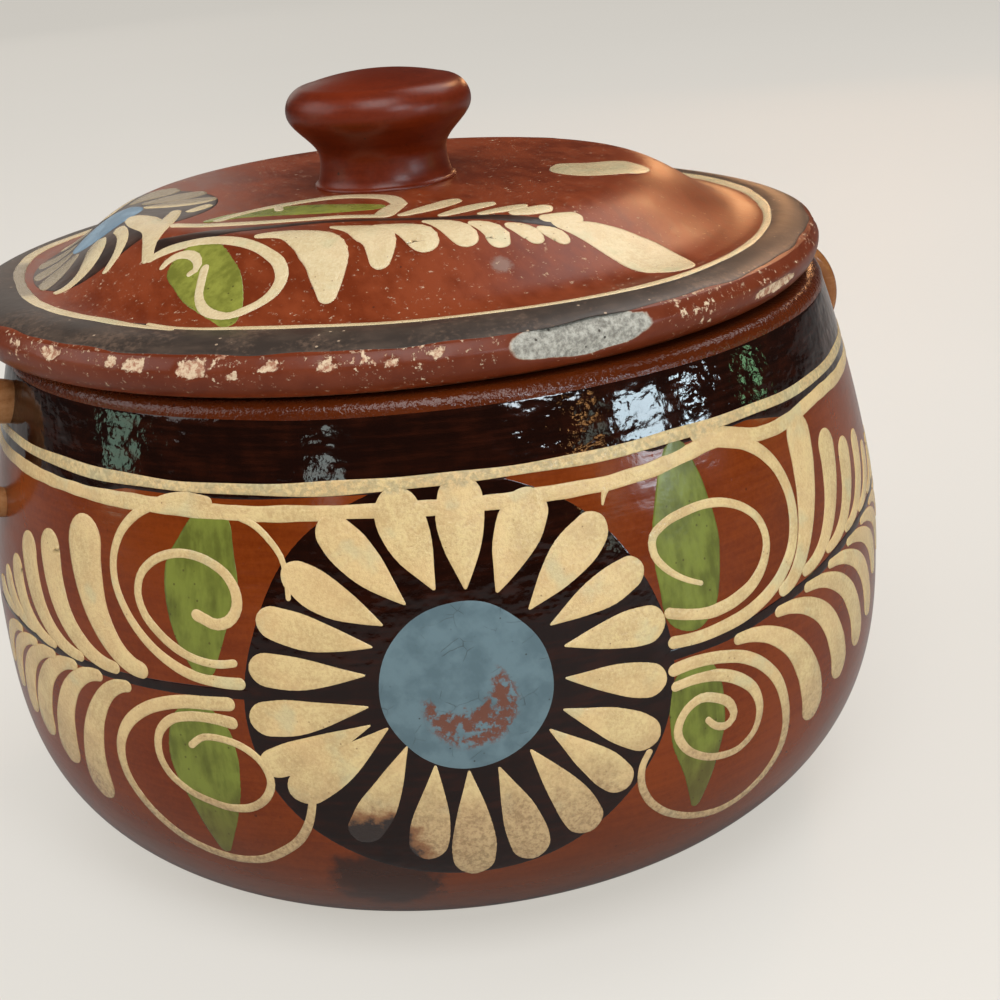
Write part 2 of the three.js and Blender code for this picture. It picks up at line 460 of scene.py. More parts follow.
def stroke(surface, path, widths, height, finish=0, wobble=0.05, turn=0.0):
    """One stroke along a path. Its width is the brush's at that step, and within half a width of
    each end it is times sqrt(1 - (share of the cap left)^2). Across the stroke u goes from -1 to
    1, and the slip stands height * (1 - |u|^6) above the clay, with its edges sunk a hair."""
    dice = next_dice()
    path = np.asarray(path, float) + (dice.uniform(-0.8, 0.8, 2) if turn else 0)
    fine = smooth(path, np.linspace(0, 1, 200))
    run = np.concatenate([[0], np.cumsum(np.linalg.norm(np.diff(fine, axis=0), axis=1))])
    length = run[-1]
    caps = [max(widths[end] / 2, 0.1) for end in (0, -1)]
    s = ring_shares(length, caps)
    centre = np.stack([np.interp(s * length, run, fine[:, k]) for k in (0, 1)], -1)
    along = np.gradient(centre, axis=0)
    along /= np.linalg.norm(along, axis=1, keepdims=True)
    side = np.stack([-along[:, 1], along[:, 0]], -1)
    width = np.maximum(evenly(widths, s, 50), 0.15)
    for distance, cap in zip((s * length, (1 - s) * length), caps):
        width = width * np.sqrt(1 - np.clip(1 - distance / cap, 0, 1) ** 2)
    slow, quick = max(int(length / 9), 3), max(int(length / 2.6), 4)
    left_edge, right_edge = (1 + wobble * (hand(s, slow, dice) + 0.5 * hand(s, quick, dice))
                             for _ in range(2))
    over, under = -np.cos(np.linspace(0, np.pi, 8)), np.cos(np.linspace(0, np.pi, 6))[1:-1]
    u = np.concatenate([over, under])
    edge = np.where(u < 0, left_edge[:, None], right_edge[:, None])
    place = centre[:, None] + side[:, None] * (width[:, None] / 2 * edge * u)[..., None]
    rise = height * (0.97 + 0.06 * dice.random())
    thick = np.minimum(1, width / 1.2 + 0.2)[:, None]
    lens = rise * thick * (1 - np.abs(u) ** 6) - edge_sink
    lift = np.where(np.arange(len(u)) < len(over), lens, -slip_depth * thick)
    brush = np.empty((*place.shape[:2], 3))
    brush[..., 0] = (s * length)[:, None]
    brush[..., 1] = u
    brush[..., 2] = dice.random()
    return skin(surface(place, lift, turn), finish=finish, brush=brush)


def strokes(surface, rows, height, **more):
    """One stroke for each path and its widths."""
    return [stroke(surface, path, widths, height, **more) for path, widths in rows]

# %% A disc and a hoop of slip
def disc(surface, centre, radius, height, finish=0, wobble=0.02, turn=0.0, squeeze=(1, 1)):
    """A round daub on a polar grid: out from its middle at height * sqrt(1 - share^30), and back
    beneath the clay. Its radius wanders with the angle: a sum of waves, each 1 / k as large."""
    dice = next_dice()
    a = np.linspace(0, 2 * np.pi, 144, endpoint=False)
    size = np.ones_like(a)
    for k in range(2, 10):
        size += wobble / k * 2 * dice.uniform(-1, 1) * np.sin(k * a + dice.uniform(0, 6.3))
    rings = max(int(radius / 1.2), 6)
    out = np.concatenate([1 - np.linspace(1, 0, rings) ** 2, np.linspace(1, 0, rings)[1:]])
    rows = out[:, None] * size * radius
    place = np.stack([centre[0] + rows * np.cos(a) * squeeze[0],
                      centre[1] + rows * np.sin(a) * squeeze[1]], -1)
    lens = height * np.sqrt(1 - out**30) - edge_sink
    lift = np.where(np.arange(len(out)) < rings, lens, -slip_depth)
    brush = np.stack([rows, out[:, None] + 0 * rows, 0 * rows + dice.random()], -1)
    return skin(surface(place, lift[:, None], turn), finish=finish, brush=brush)


def hoop(point, low, high, height, steps=640, rows=10):
    """A band right round, between two edges that are functions of the angle. Its section is a
    thin lens: over it from low to high at height * sqrt(1 - u^12), and back beneath."""
    a = np.linspace(0, 2 * np.pi, steps, endpoint=False)
    up = (1 - np.cos(np.linspace(0, np.pi, rows))) / 2
    share = np.concatenate([up, up[::-1][1:-1]])[:, None]
    across = low(a) + (high(a) - low(a)) * share
    lens = height * np.sqrt(1 - (2 * share - 1) ** 12) - edge_sink
    lift = np.where(np.arange(len(share))[:, None] < rows, lens, -slip_depth)
    points = point(a + 0 * share, across, lift + 0 * across)
    brush = np.stack([a * arc_radius + 0 * share, 2 * share - 1 + 0 * a, 0 * across], -1)
    return skin(points, hoop=True, brush=brush)

# %% [markdown]
# The thrown dish
#
# The pot is one lathe curve spun round: the foot, the fat belly, the shoulder, a thick rolled
# rim, and down inside. A lathe could be a screw modifier, but as a grid each ring keeps the
# number of its finish, so the bare foot, the painted outside and the glazed inside are one skin.

# %% Spinning a curve
def arc(centre, radius, start, end, steps):
    """Points on a circle from one angle to another, in degrees."""
    a = np.radians(np.linspace(start, end, steps))
    return np.stack([centre[0] + radius * np.cos(a), centre[1] + radius * np.sin(a)], -1)


def lathe(profile, steps, finish, shape=None, worn=None):
    """Spins a profile of (radius, height) round Z. shape may move the points, and worn
    gives how much clay is missing at each of them."""
    a = np.linspace(0, 2 * np.pi, steps, endpoint=False)
    r, z = profile[:, :1], profile[:, 1:]
    points = np.stack([r * np.cos(a), r * np.sin(a), z + 0 * a], -1)
    brush = np.zeros_like(points)
    if worn is not None:
        brush[..., 0] = worn(np.arctan2(points[..., 0], -points[..., 1]), points[..., 2])
    return skin(points if shape is None else shape(points), finish=finish, brush=brush)

# %% The outside of the dish
foot_round, foot_ring, foot_hollow = 1.5, 8.0, 1.0
rim_round = 3.5
wall_top = 130.2
base = np.linspace([0, foot_hollow], [foot_radius - foot_round, foot_hollow], 14)
base[:, 1] *= np.clip((foot_radius - foot_ring - base[:, 0]) / 6, 0, 1)
wall_z = np.concatenate([belly_height * np.linspace(0.03, 1, 66) ** 2,
                         np.linspace(belly_height + 1, wall_top, 62)])
wall = np.stack([outer_radius(wall_z), wall_z], -1)
shoulder = float(outer_radius(rim_height - rim_round))
lip = arc((shoulder - rim_round, rim_height - rim_round), rim_round, 0, 90, 9)
print("the outside has %d rings" % (len(base) + len(wall) + len(lip)))

# %% The inside of the dish
dish_wall = 7.0
dish_floor = 8.0
floor_radius = solid_foot_radius - dish_wall
rim_width = 11.0
mouth_round = 1.5
mouth_radius = solid_rim_radius - rim_width
neck_top, neck_foot = 131.5, 119.5


def inner_radius(z):
    """The inside: the outside's curve moved in by the wall, and its own bowl below the belly."""
    z = np.asarray(z, float)
    up = np.clip((z - dish_floor) / (belly_height - dish_floor), 0, 1)
    low = floor_radius + (belly_radius + clay_inset - solid_foot_radius) * bowl_swell(up)
    return np.where(z < belly_height, low, outer_radius(z) + clay_inset - dish_wall)


mouth = arc((mouth_radius + mouth_round, rim_height - mouth_round), mouth_round, 90, 180, 7)
neck = np.linspace([mouth_radius, neck_top], [inner_radius(neck_foot), neck_foot], 9)
bowl_rise = (belly_height - dish_floor) * np.linspace(1, 0.03, 50) ** 2
inside_z = np.concatenate([np.linspace(neck_foot - 1, belly_height + 1, 44),
                           dish_floor + bowl_rise])
inside = np.stack([inner_radius(inside_z), inside_z], -1)
floor = np.linspace([floor_radius - 1, dish_floor], [0, dish_floor], 14)

glazed, bare, inner = 0, 1, 2
bare_wall_rings = 6
outside_rings = len(wall) + len(lip) - bare_wall_rings
inside_rings = len(mouth) + len(neck) + len(inside) + len(floor)
dish_finish = np.repeat([bare, glazed, inner],
                        [len(base) + bare_wall_rings, outside_rings, inside_rings])
profile = np.concatenate([base, wall, lip, mouth, neck, inside, floor])
dish_skin = lathe(profile, 320, dish_finish)
print("the dish's curve has %d points" % len(profile))

# %% [markdown]
# The loop handles
#
# Each handle is a pulled strap of clay, bent and luted to the wall, with its ends thumbed out
# flat. Here an oval section is carried along the bend. It widens to the middle and thickens to the
# upper root, and its face is a little hollow along the middle, where the potter's thumb ran.

# %% The straps
strap_bend = [(101.0, 122.8), (104.0, 123.8), (107.6, 124.6), (112.0, 124.4), (116.2, 121.9),
              (119.2, 117.4), (120.2, 112.4), (119.2, 107.4), (116.2, 103.0), (112.6, 100.4),
              (109.4, 99.2), (106.2, 98.8)]
strap_widths = [9, 10.4, 11.6, 12.2, 12.4, 12.0, 11.0, 9.4, 7.5]
strap_thicks = [10, 11, 8.4, 7.2, 7, 7, 7, 7.6, 7]


def strap(side):
    """At each step t of the bend the section is an oval: width * cos(a)^0.85 along Y, and
    thickness * sin(a) across the bend. Its outer face is pressed in by 0.5 * exp(-(y / 5)^2),
    and shallow waves run over it. The last 0.035 at each end is rounded off."""
    even = np.linspace(0, 1, 64)
    t = ((1 - np.cos(np.pi * even)) / 2 * 0.35 + even * 0.65)[:, None]
    centre = smooth(strap_bend, t[:, 0])
    along = np.gradient(centre, axis=0)
    along /= np.linalg.norm(along, axis=1, keepdims=True)
    outward = np.stack([along[:, 1], -along[:, 0]], -1)
    outward *= np.sign(outward[32, 0])
    end = np.sqrt(1 - np.clip(1 - np.minimum(t, 1 - t) / 0.035, 0, 1) ** 2)
    half_width = evenly(strap_widths, t[:, 0], 90)[:, None] / 2 * end
    half_thick = evenly(strap_thicks, t[:, 0], 90)[:, None] / 2 * end
    a = np.linspace(0, 2 * np.pi, 48, endpoint=False)
    y = half_width * np.sign(np.cos(a)) * np.abs(np.cos(a)) ** 0.85
    outer_face = end * (np.sin(a) > 0)
    up = half_thick * np.sin(a) - 0.5 * np.exp(-((y / 5) ** 2)) * outer_face
    up += 0.10 * np.sin(y * 0.7 + 9 * t) * outer_face
    x, z = centre[:, :1] + outward[:, :1] * up, centre[:, 1:] + outward[:, 1:] * up
    return skin(np.stack([side * x, side * y, z], -1))


right_strap_skin, left_strap_skin = strap(1), strap(-1)
strap_reach, solid_reach = right_strap_skin["points"][:, 0].max(), box_mm("handle_right")[1][0]
print("the strap reaches %.1f mm out, and its solid %.1f" % (strap_reach, solid_reach))

# %% [markdown]
# The lid
#
# The lid is a shallow dome with a flat border and a thick rolled edge, and a flange beneath that
# keeps it in the mouth. Years of use have knocked small flakes off its edge. The flakes are real
# hollows here: each takes away clay where a point is near its middle, on an uneven outline.

# %% Chips in the lid's edge
# Each chip: its angle as seen from the front of the flower (0 is straight at the viewer and 90 to
# the right), its height above the seat, its half length, half height, and depth.
lid_chips = [(21.0, 7.5, 16.6, 4.2, 0.8), (-24, 7.6, 3.6, 1.7, 0.6), (-31.5, 8.4, 2.6, 1.5, 0.6),
             (-35, 8.2, 1.6, 1.2, 0.4), (-45.5, 8.6, 3.0, 1.4, 0.6), (-8, 7.8, 1.9, 1.1, 0.4),
             (-1, 7.4, 1.6, 1.0, 0.4), (53.5, 5.2, 11, 1.3, 0.5), (-14.5, 8.4, 1.8, 1.2, 0.5),
             (-19, 6.4, 1.3, 1.0, 0.4), (4, 8.4, 1.5, 0.9, 0.4), (-53, 8.8, 1.4, 1.0, 0.4),
             (-60, 5.0, 3.0, 1.6, 0.5), (-76, 7.6, 3.4, 1.8, 0.6), (84, 7.4, 2.6, 1.4, 0.4),
             (118, 7.8, 4.4, 2.2, 0.7), (151, 5.4, 3.0, 1.8, 0.5), (-122, 8.2, 4.2, 2.0, 0.6),
             (-158, 6.0, 3.4, 1.6, 0.5)]
chip_arc_radius = 106.0


def chip_depth(angle, z):
    """How much each chip takes away: depth * smooth falling edge of the scaled distance to its
    middle, where the scale has waves so that the outline is uneven."""
    taken = np.zeros(np.broadcast(angle, z).shape)
    for number, (at, height, long, high, depth) in enumerate(lid_chips):
        u = np.angle(np.exp(1j * (angle - math.radians(at)))) * chip_arc_radius / long
        v = (z - height) / high
        uneven = min(1, 5 / long)
        ragged = 1 + uneven * (0.07 * np.sin(7 * np.arctan2(v, u) + number)
                               + 0.1 * np.sin(9 * u + 5 * v))
        near_chip = np.clip((1.1 * ragged - np.hypot(u, v)) / 0.35, 0, 1)
        taken = np.maximum(taken, depth * near_chip * near_chip * (3 - 2 * near_chip))
    return taken


def hand_lid(points):
    """Moves the spun lid to its place. The chips draw in only what lies beyond r = 99, and press
    down the edge above z = 7. The sway fades out below z = 5.5, so that the seat stays level."""
    x, y, z = points[..., 0], points[..., 1], points[..., 2]
    r = np.hypot(x, y)
    taken = chip_depth(np.arctan2(x, -y), z) * np.clip((r - 99) / 3, 0, 1)
    drawn_in = 1 - taken / np.maximum(r, 1)
    x, y = x * drawn_in, y * drawn_in
    pressed = 0.5 * taken * np.clip((z - 7) / 2, 0, 1)
    z = z + edge_sway(x, y) * np.clip((z - 1.5) / 4, 0, 1) - pressed
    return seat_lid(x, y, z)


print("%d chips, the deepest %.1f mm" % (len(lid_chips), max(chip[4] for chip in lid_chips)))

# %% The lid's lathe curve
lid_wall = 6.5
hollow_roof = 20.2
edge_round = 6.85
flange_middle = 81.7
glazed_under_rings = 14
dome_r = np.concatenate([np.linspace(0, 90, 62), np.linspace(90.9, 104.0, 18),
                         np.linspace(104.4, lid_radius - 1.4, 6)])
dome = np.stack([dome_r, lid_rise(dome_r)], -1)
edge = np.array([(lid_radius - 0.75, 8.55), (lid_radius - 0.25, 7.9), (lid_radius, 7.1)])
under_edge = arc((lid_radius - edge_round, 7.0), edge_round, -4, -90, 20)
seat = np.linspace([lid_radius - 7.4, 0.15], [flange_middle + 2.4, 0.15], 8)
flange = np.concatenate([
    np.linspace([flange_middle + 2.2, -0.4], [flange_middle + 1.9, -5.6], 8),
    arc((flange_middle, -5.1), 1.9, -10, -170, 9),
    np.linspace([flange_middle - 2.1, -4.4], [flange_middle - 2.5, 4.5], 8)])
hollow_r = np.linspace(flange_middle - 3.3, 0, 52)
hollow = np.stack([hollow_r, np.minimum(lid_rise(hollow_r) - lid_wall, hollow_roof)], -1)
lid_profile = np.concatenate([dome, edge, under_edge, seat, flange, hollow])
lid_glazed_rings = len(dome) + len(edge) + glazed_under_rings
lid_finish = np.repeat([glazed, bare], [lid_glazed_rings, len(lid_profile) - lid_glazed_rings])
lid_skin = lathe(lid_profile, 540, lid_finish, hand_lid, chip_depth)
print("the lid's curve has %d points" % len(lid_profile))

# %% [markdown]
# The knob
#
# The knob was turned on the wheel: a sturdy stem, thinned a little at the waist, and a mushroom
# head that fingers can hold. It is spun from one curve on the lid's own centre, and its foot is
# sunk into the lid, because the clay there is smeared into one.

# %% The knob's lathe curve
knob_foot = box_mm("lid_knob")[0][2]
waist_radius, waist_height, foot_spread, knob_sink = 16.0, 6.5, 1.8, 1.2
head_radius, head_round, head_height = 17.2, 6.0, 18.2
turn_in = np.linspace(0, np.pi / 2, 14)
cove = np.stack([waist_radius + foot_spread * (1 - np.sin(turn_in)),
                 waist_height * (1 - np.cos(turn_in))], -1)
flare_share = np.linspace(0.06, 1, 16)
flare_width = head_radius + head_round - waist_radius
flare = np.stack([waist_radius + flare_width * (1 - np.cos(np.pi * flare_share)) / 2,
                  waist_height + 11.5 * flare_share], -1)
head = arc((head_radius, head_height), head_round, 6, 84, 12)
cap_r = np.linspace(head_radius, 0, 14)[1:]
cap = np.stack([cap_r, 24.25 + 2.45 * (1 - (cap_r / 17.6) ** 2)], -1)
sunk_foot = [(0, -knob_sink), (waist_radius + foot_spread, -knob_sink)]
knob_profile = np.concatenate([sunk_foot, cove, flare, head, cap])


def place_knob(points):
    """Stands the knob on the lid, a hair out of round as hand-turned clay is."""
    a = np.arctan2(points[..., 1], points[..., 0])
    z = points[..., 2]
    scale = 1 - 0.006 + 0.006 * np.sin(2 * a + z * 0.05) * np.clip(z / 6, 0, 1)
    shifted = points * np.stack([scale, scale, np.ones_like(scale)], -1)
    return shifted + [*lid_centre, knob_foot]


knob_skin = lathe(knob_profile, 128, 0, place_knob)
print("the knob stands %.1f mm over its foot" % cap[-1, 1])

# %% [markdown]
# Painting the dish
#
# The painter worked in a fixed order: the black daub and stems, the green leaves, then cream over
# all. A big flower sits on each face between the handles. From it runs a level dark stem to each
# side, with curled tendrils near the flower and a frond of drop-shaped leaves further out. Each
# tuple below is a place (arc, height) in millimetres, read off and rounded. The hidden face
# gets the same flower, and each of its strokes wanders in its own way.

# %% The flower's petals
black_height, green_height, blue_height, cream_height = 0.10, 0.11, 0.17, 0.22
blunt_petal = np.array([0.05, 0.36, 0.66, 0.9, 1.03, 1.0, 0.86])
slim_petal = np.array([0.05, 0.42, 0.76, 0.98, 1.04, 0.92, 0.66])
dish_petals = [((2, 94.5), (3.5, 118), 11), ((8.3, 93), (19, 113), 11),
               ((14.5, 88.5), (33, 105), 10), ((18.5, 84.5), (40.5, 93), 8.5),
               ((21, 79.5), (44, 80), 9), ((20.5, 72.5), (43, 66), 8.5),
               ((19.5, 65.5), (40.5, 53), 9), ((16.3, 61.5), (33, 43), 8.5),
               ((12, 57.5), (25, 33.5), 9.5), ((5.2, 54.5), (12, 28.5), 9.5),
               ((-1, 54.5), (-2, 26), 10), ((-7.7, 56.5), (-12, 32), 9.5),
               ((-13, 61.5), (-26, 38), 8.5), ((-16.5, 66), (-39, 49.5), 10),
               ((-20, 66.8), (-45, 56), 8), ((-20, 71), (-46, 67.5), 9),
               ((-20, 78), (-45, 79.5), 8.5), ((-18, 84), (-42.5, 90.5), 8.5),
               ((-15.5, 88.5), (-36, 101), 9), ((-10.5, 92.5), (-27, 111), 9.5),
               ((-4.3, 95), (-12, 116.5), 11)]


def petal(tip, end, width, turn):
    """A pointed drop: the brush lands at the tip, is pressed two thirds of the way, and lifts. It
    bends aside by 0.015 of its length. Where it ends above z = 82 it is slimmer at its outer end,
    and fully so from z = 98, because the painter's wrist turned there."""
    swell = blunt_petal + (slim_petal - blunt_petal) * np.clip((end[1] - 82) / 16, 0, 1)
    aside = np.array([tip[1] - end[1], end[0] - tip[0]]) * 0.015
    path = [tip, np.add(tip, end) / 2 + aside, end]
    return stroke(on_dish, path, swell * width, cream_height, turn=turn)


print("%d petals" % len(dish_petals))

# %% The curled tendrils: path and brush widths
dish_tendrils = [
    ([(-46, 111.3), (-42, 109.6), (-38.5, 106.5), (-36, 102.8), (-35.2, 99), (-35, 94)],
     (1.6, 1.3)),
    ([(-57.8, 90.3), (-55, 89.3), (-52, 88.2), (-49, 89), (-46.8, 92), (-46.8, 95), (-49, 99),
      (-53, 101.5), (-58, 102.7), (-63, 102.3), (-68, 100.2), (-71.5, 96.5), (-72.2, 93),
      (-70.5, 88.5), (-67, 85), (-62.5, 82), (-57, 80), (-52, 79.5), (-47.5, 80.2)],
     (3, 2.4, 2, 2.2, 1.8)),
    ([(-52, 113.5), (-60, 114.3), (-67, 112.5), (-73, 109.5), (-77.5, 105), (-79.5, 99.5),
      (-79, 94), (-76, 88.5), (-71.5, 83.5), (-66, 79.5), (-60, 76.8), (-53, 75.6),
      (-46, 75.5)], (3, 2.4, 2.2, 2.4, 2.8)),
    ([(-49, 70.8), (-55, 70.3), (-62, 69.8), (-69, 68), (-75.5, 64.5), (-80.5, 59.5), (-83, 54),
      (-83, 48), (-80.5, 42.5), (-76, 37), (-70, 32.5), (-63, 30), (-56, 29.3), (-50, 30.5),
      (-44.5, 33.5), (-40, 37), (-36.8, 41.5), (-35, 46.5), (-34.3, 50)],
     (3.6, 3, 2.6, 2.4, 2)),
    ([(-49, 66), (-55, 66.8), (-61, 66.5), (-66.5, 64.5), (-70, 60.5), (-70.8, 55.5), (-69, 51),
      (-65, 47.8), (-59.5, 45.7), (-54, 44.7), (-49, 45.5), (-45, 48.5), (-43.3, 52.5),
      (-44.5, 57), (-48, 60.3), (-53, 62), (-58, 61.9), (-62, 59)], (3, 2.2, 2.2, 2, 1.8)),
    ([(54.5, 85), (50, 87.3), (46, 90.5), (43.5, 94.5), (43.8, 97.8), (47, 100), (52, 101.2),
      (58, 101.5), (64, 100.3), (69.5, 97.5), (73.3, 93.5), (74.3, 89), (72.5, 84.5),
      (68.5, 81), (63, 79), (56, 78.3), (49, 79.7), (44, 81.5)], (1.2, 2.2, 2, 3, 2.6)),
    ([(60, 114.5), (67, 113), (73.5, 110.8), (79, 107), (83, 102), (85, 96), (84.8, 90),
      (82.5, 84.5), (78, 80), (72, 76.8), (65, 74.8), (57, 73.9), (50, 73.8), (44, 74.5)],
     (3, 3.2, 3.4, 3.2, 3)),
    ([(43.5, 68), (50, 68.3), (57, 67.3), (64, 64.8), (70, 60.5), (74.5, 55), (77, 48.5),
      (78, 42), (77, 36), (73.5, 31), (68, 27.5), (61, 26), (54, 27.2), (47, 30),
      (41.5, 33.8), (38, 38), (36.2, 43), (36.5, 47.5), (38.5, 51)], (3.2, 3, 2.6, 2, 1.8)),
    ([(44, 64), (50, 64.3), (56, 63.3), (62, 60.3), (66.5, 56), (68.3, 50.5), (66.8, 45.5),
      (62, 42.6), (57, 42.8), (51.5, 44.8), (47, 48.5), (45.2, 53), (47, 57.2), (51, 59.3),
      (55.5, 58), (59.5, 54.8), (60.3, 51.8), (58.5, 50.2), (55.5, 51), (52.5, 54)],
     (2.6, 3, 2, 2.2, 2.6, 1.6))]

# %% Stems, fronds and leaves
dish_stems = [([(-44, 73.3), (-60, 72.9), (-80, 72.8), (-100, 73.3), (-120, 74.2), (-142, 75)],
               (2.6, 2.4, 1.6, 1)),
              ([(43, 71.5), (60, 71.8), (75, 73.5), (90, 75.3), (105, 77.5), (120, 79),
                (140, 80), (165, 79), (190, 77)], (2.6, 2.4, 2, 1.4, 1))]
dish_fronds = [((-70.5, 75.2), (-90, 107.5), 11.5), ((-79, 74.3), (-104, 101.5), 8.5),
               ((-91, 74.3), (-115, 98.5), 8), ((-102, 74.5), (-123, 91), 7),
               ((-112, 75.5), (-131, 86), 6), ((-123, 76), (-139, 81), 5),
               ((-76, 71), (-95, 37), 9), ((-85, 71.5), (-106, 43), 9),
               ((-94, 71.8), (-116, 47), 8.5),
               ((-103, 72), (-124.5, 50), 7.5), ((-112, 72.2), (-132, 54), 6.5),
               ((-121, 72.8), (-138, 58.5), 6), ((76, 76), (94, 112), 9.5),
               ((85, 77.5), (106, 105), 8), ((96, 79), (116, 100), 7.5),
               ((107, 80), (126.5, 98.5), 6.5), ((118, 81), (134.5, 93), 6),
               ((129, 81.5), (145, 91.5), 5.5), ((140, 81.5), (155.5, 90), 5),
               ((151, 81), (162, 86), 4.5), ((61, 70), (89, 39), 8.5),
               ((74, 72), (101.5, 44.5), 8), ((85, 73.8), (113, 48), 7.5),
               ((96, 75.3), (123.5, 51.5), 7), ((107, 76.6), (131, 59.5), 6.5),
               ((118, 77.8), (140.5, 62), 6), ((129, 78.5), (147, 68.5), 5),
               ((140, 78.8), (156.5, 69.8), 4.5), ((151, 78.5), (162.5, 73.8), 4)]
dish_leaves = [([(-50.5, 113), (-53.5, 105), (-55.7, 96), (-56.4, 90), (-56.3, 84),
                 (-55.5, 76)], (7, 14, 18.5, 16.5, 12, 4)),
               ([(-57, 70), (-58.3, 63), (-58.9, 57), (-58.6, 50), (-58.5, 44), (-59, 38),
                 (-59.7, 31)], (9, 16.5, 18, 16.8, 13, 8, 2)),
               ([(53.6, 117), (53, 111), (52.6, 105), (52.3, 99), (52, 93), (51.5, 87), (51, 81.5),
                 (51.5, 75.5)], (4, 11, 15, 17.5, 18, 16.5, 15, 10)),
               ([(50, 69), (50.3, 62), (50.5, 55), (51, 48), (51.3, 42), (51.3, 37),
                 (51.3, 31)], (8, 13.5, 14.5, 14, 10.5, 6.5, 2))]
frond_swell = np.array([0.32, 0.44, 0.58, 0.74, 0.92, 1.06, 1.1])


def drop(surface, root, head, width, height, turn=0.0):
    """A frond leaf: a quarter of an ellipse that leaves the stem level and turns out to its
    head, x = root + dx * sin(90 t) and z = root + dz * (1 - cos(90 t)), thin tail to round head."""
    t = np.linspace(0, np.pi / 2, 9)
    path = np.stack([root[0] + (head[0] - root[0]) * np.sin(t),
                     root[1] + (head[1] - root[1]) * (1 - np.cos(t))], -1)
    return stroke(surface, path, frond_swell * width, height, turn=turn)


print("%d frond leaves and %d green leaves" % (len(dish_fronds), len(dish_leaves)))

# %% Both faces
black_skins, green_skins, cream_skins, blue_skins = [], [], [], []
for turn in (0.0, math.pi):
    black_skins.append(disc(on_dish, (-1, 72), 46, black_height, turn=turn))
    black_skins += strokes(on_dish, dish_stems, black_height, turn=turn)
    green_skins += strokes(on_dish, dish_leaves, green_height, wobble=0.03, turn=turn)
    blue_skins.append(disc(on_dish, (0.2, 73.6), 18.05, blue_height, turn=turn,
                           wobble=0.012, squeeze=(1, 1.045)))
    cream_skins += [petal(*leaf, turn) for leaf in dish_petals]
    cream_skins += [drop(on_dish, *leaf, cream_height, turn) for leaf in dish_fronds]
    cream_skins += strokes(on_dish, dish_tendrils, cream_height, turn=turn)
    cream_skins.append(stroke(on_dish, [(163, 79.5), (172, 80.5), (182, 80), (190, 77)],
                              (3, 9, 10, 5), cream_height, turn=turn))
print("%d strokes on the two faces" % stroke_count)

# %% The band and the lines right round
def waver(a, middle, *waves):
    """A level that wanders round the pot: middle + sum of size * sin(count * angle + shift)."""
    return middle + sum(size * np.sin(count * a + shift) for size, count, shift in waves)


def around(a, z, lift):
    """The wall at angle a and height z: on_dish at the arc length a * arc_radius."""
    return on_dish(np.stack([a * arc_radius, z], -1), lift)


def band_foot(a):
    """The black band's lower edge. From 12 to 47 mm right of a flower it lies 1.5 mm higher,
    hidden by the first line, and beyond 76 mm it falls by 2.4 to the second line."""
    along = np.angle(np.exp(2j * a)) / 2 * arc_radius
    dip = 2.4 * np.clip((np.abs(along) - 76) / 12, 0, 1)
    hidden = 1.5 * np.clip((along - 12) / 4, 0, 1) * np.clip((47 - along) / 4, 0, 1)
    return waver(a, 115, (0.3, 3, 1), (0.2, 8, 2), (0.1, 19, 0)) - dip + hidden


def band_head(a):
    """The black band's upper edge, near z = 131."""
    return waver(a, 131.0, (0.2, 5, 0), (0.15, 14, 2))


def line_foot(a):
    """The first cream line's lower edge, near z = 115.7."""
    return waver(a, 115.7, (0.25, 4, 0.5), (0.2, 11, 1), (0.1, 23, 4))


def line_head(a):
    """The first cream line's upper edge, near z = 118.3."""
    return waver(a, 118.3, (0.25, 4, 0.7), (0.25, 9, 3), (0.1, 27, 1))


rim_band = hoop(around, band_foot, band_head, black_height, rows=16)
cream_skins.append(hoop(around, line_foot, line_head, cream_height))
second_line = [(58, 116.5), (66, 114.9), (74, 112.4), (110, 112.6), (170, 112.2), (240, 112.8),
               (300, 112.1), (370, 112.5), (440, 112), (520, 112.6), (590, 112.4),
               (650, 112), (671, 112), (691, 111.6), (711, 111.3), (731, 111.3),
               (744, 112.4), (754, 113.6), (762, 113.4)]
cream_skins.append(stroke(on_dish, second_line, (3.4, 3.4), cream_height * 0.95, wobble=0.12))
drip = [(36, 111.6), (34.2, 109.2), (33.4, 106.9)]
cream_skins.append(stroke(on_dish, drip, (2.8, 1.5, 0.5), cream_height))
print("%d strokes on the dish" % stroke_count)

# %% [markdown]
# Painting the lid
#
# The lid has a flower at one end, half out of sight from the front, and a long curved stem with a
# row of drops on each side. One green leaf with a cream curl hangs from it, another lies behind it
# in a cream loop, a blunt leaf ends it, and one pale leaf stands alone further off. The far side
# can't be seen in the photo, so it gets only a short sprig of drops. A broad dark border runs along
# the edge, and a cream line covers the border's inner side.

# %% The lid's border
lid_line = [(-54, -73), (-48, -78.5), (-42, -82), (-33, -85.2), (-20, -89), (0, -92.8),
            (20, -92.2), (40, -87.8), (60, -76.5), (73, -63.5), (82, -50), (90, -30), (93.5, -10),
            (92, 18), (78, 51), (50, 78.5), (15, 92), (-20, 91), (-55, 75.5), (-80, 49),
            (-94, 18), (-93.3, -5), (-90.5, -19), (-86.5, -32.5), (-81.5, -44), (-75, -54),
            (-64.5, -65.5), (-54.5, -75), (-47.5, -80.5)]
lid_line_widths = (1.0, 2.0, 2.0, 1.9, 2.0, 2.3, 2.3, 2.2, 2.0, 2.4, 3.0, 3.6, 3.9, 3.6, 3.4, 3.4,
                   3.6, 3.6, 3.6, 3.6, 3.6, 3.4, 3.2, 3, 3, 3, 3, 2.6, 1.8)


def around_lid(a, r, lift):
    """The lid at angle a and radius r: on_lid at x = r * sin(a), y = -r * cos(a)."""
    return on_lid(np.stack([r * np.sin(a), -r * np.cos(a)], -1), lift)


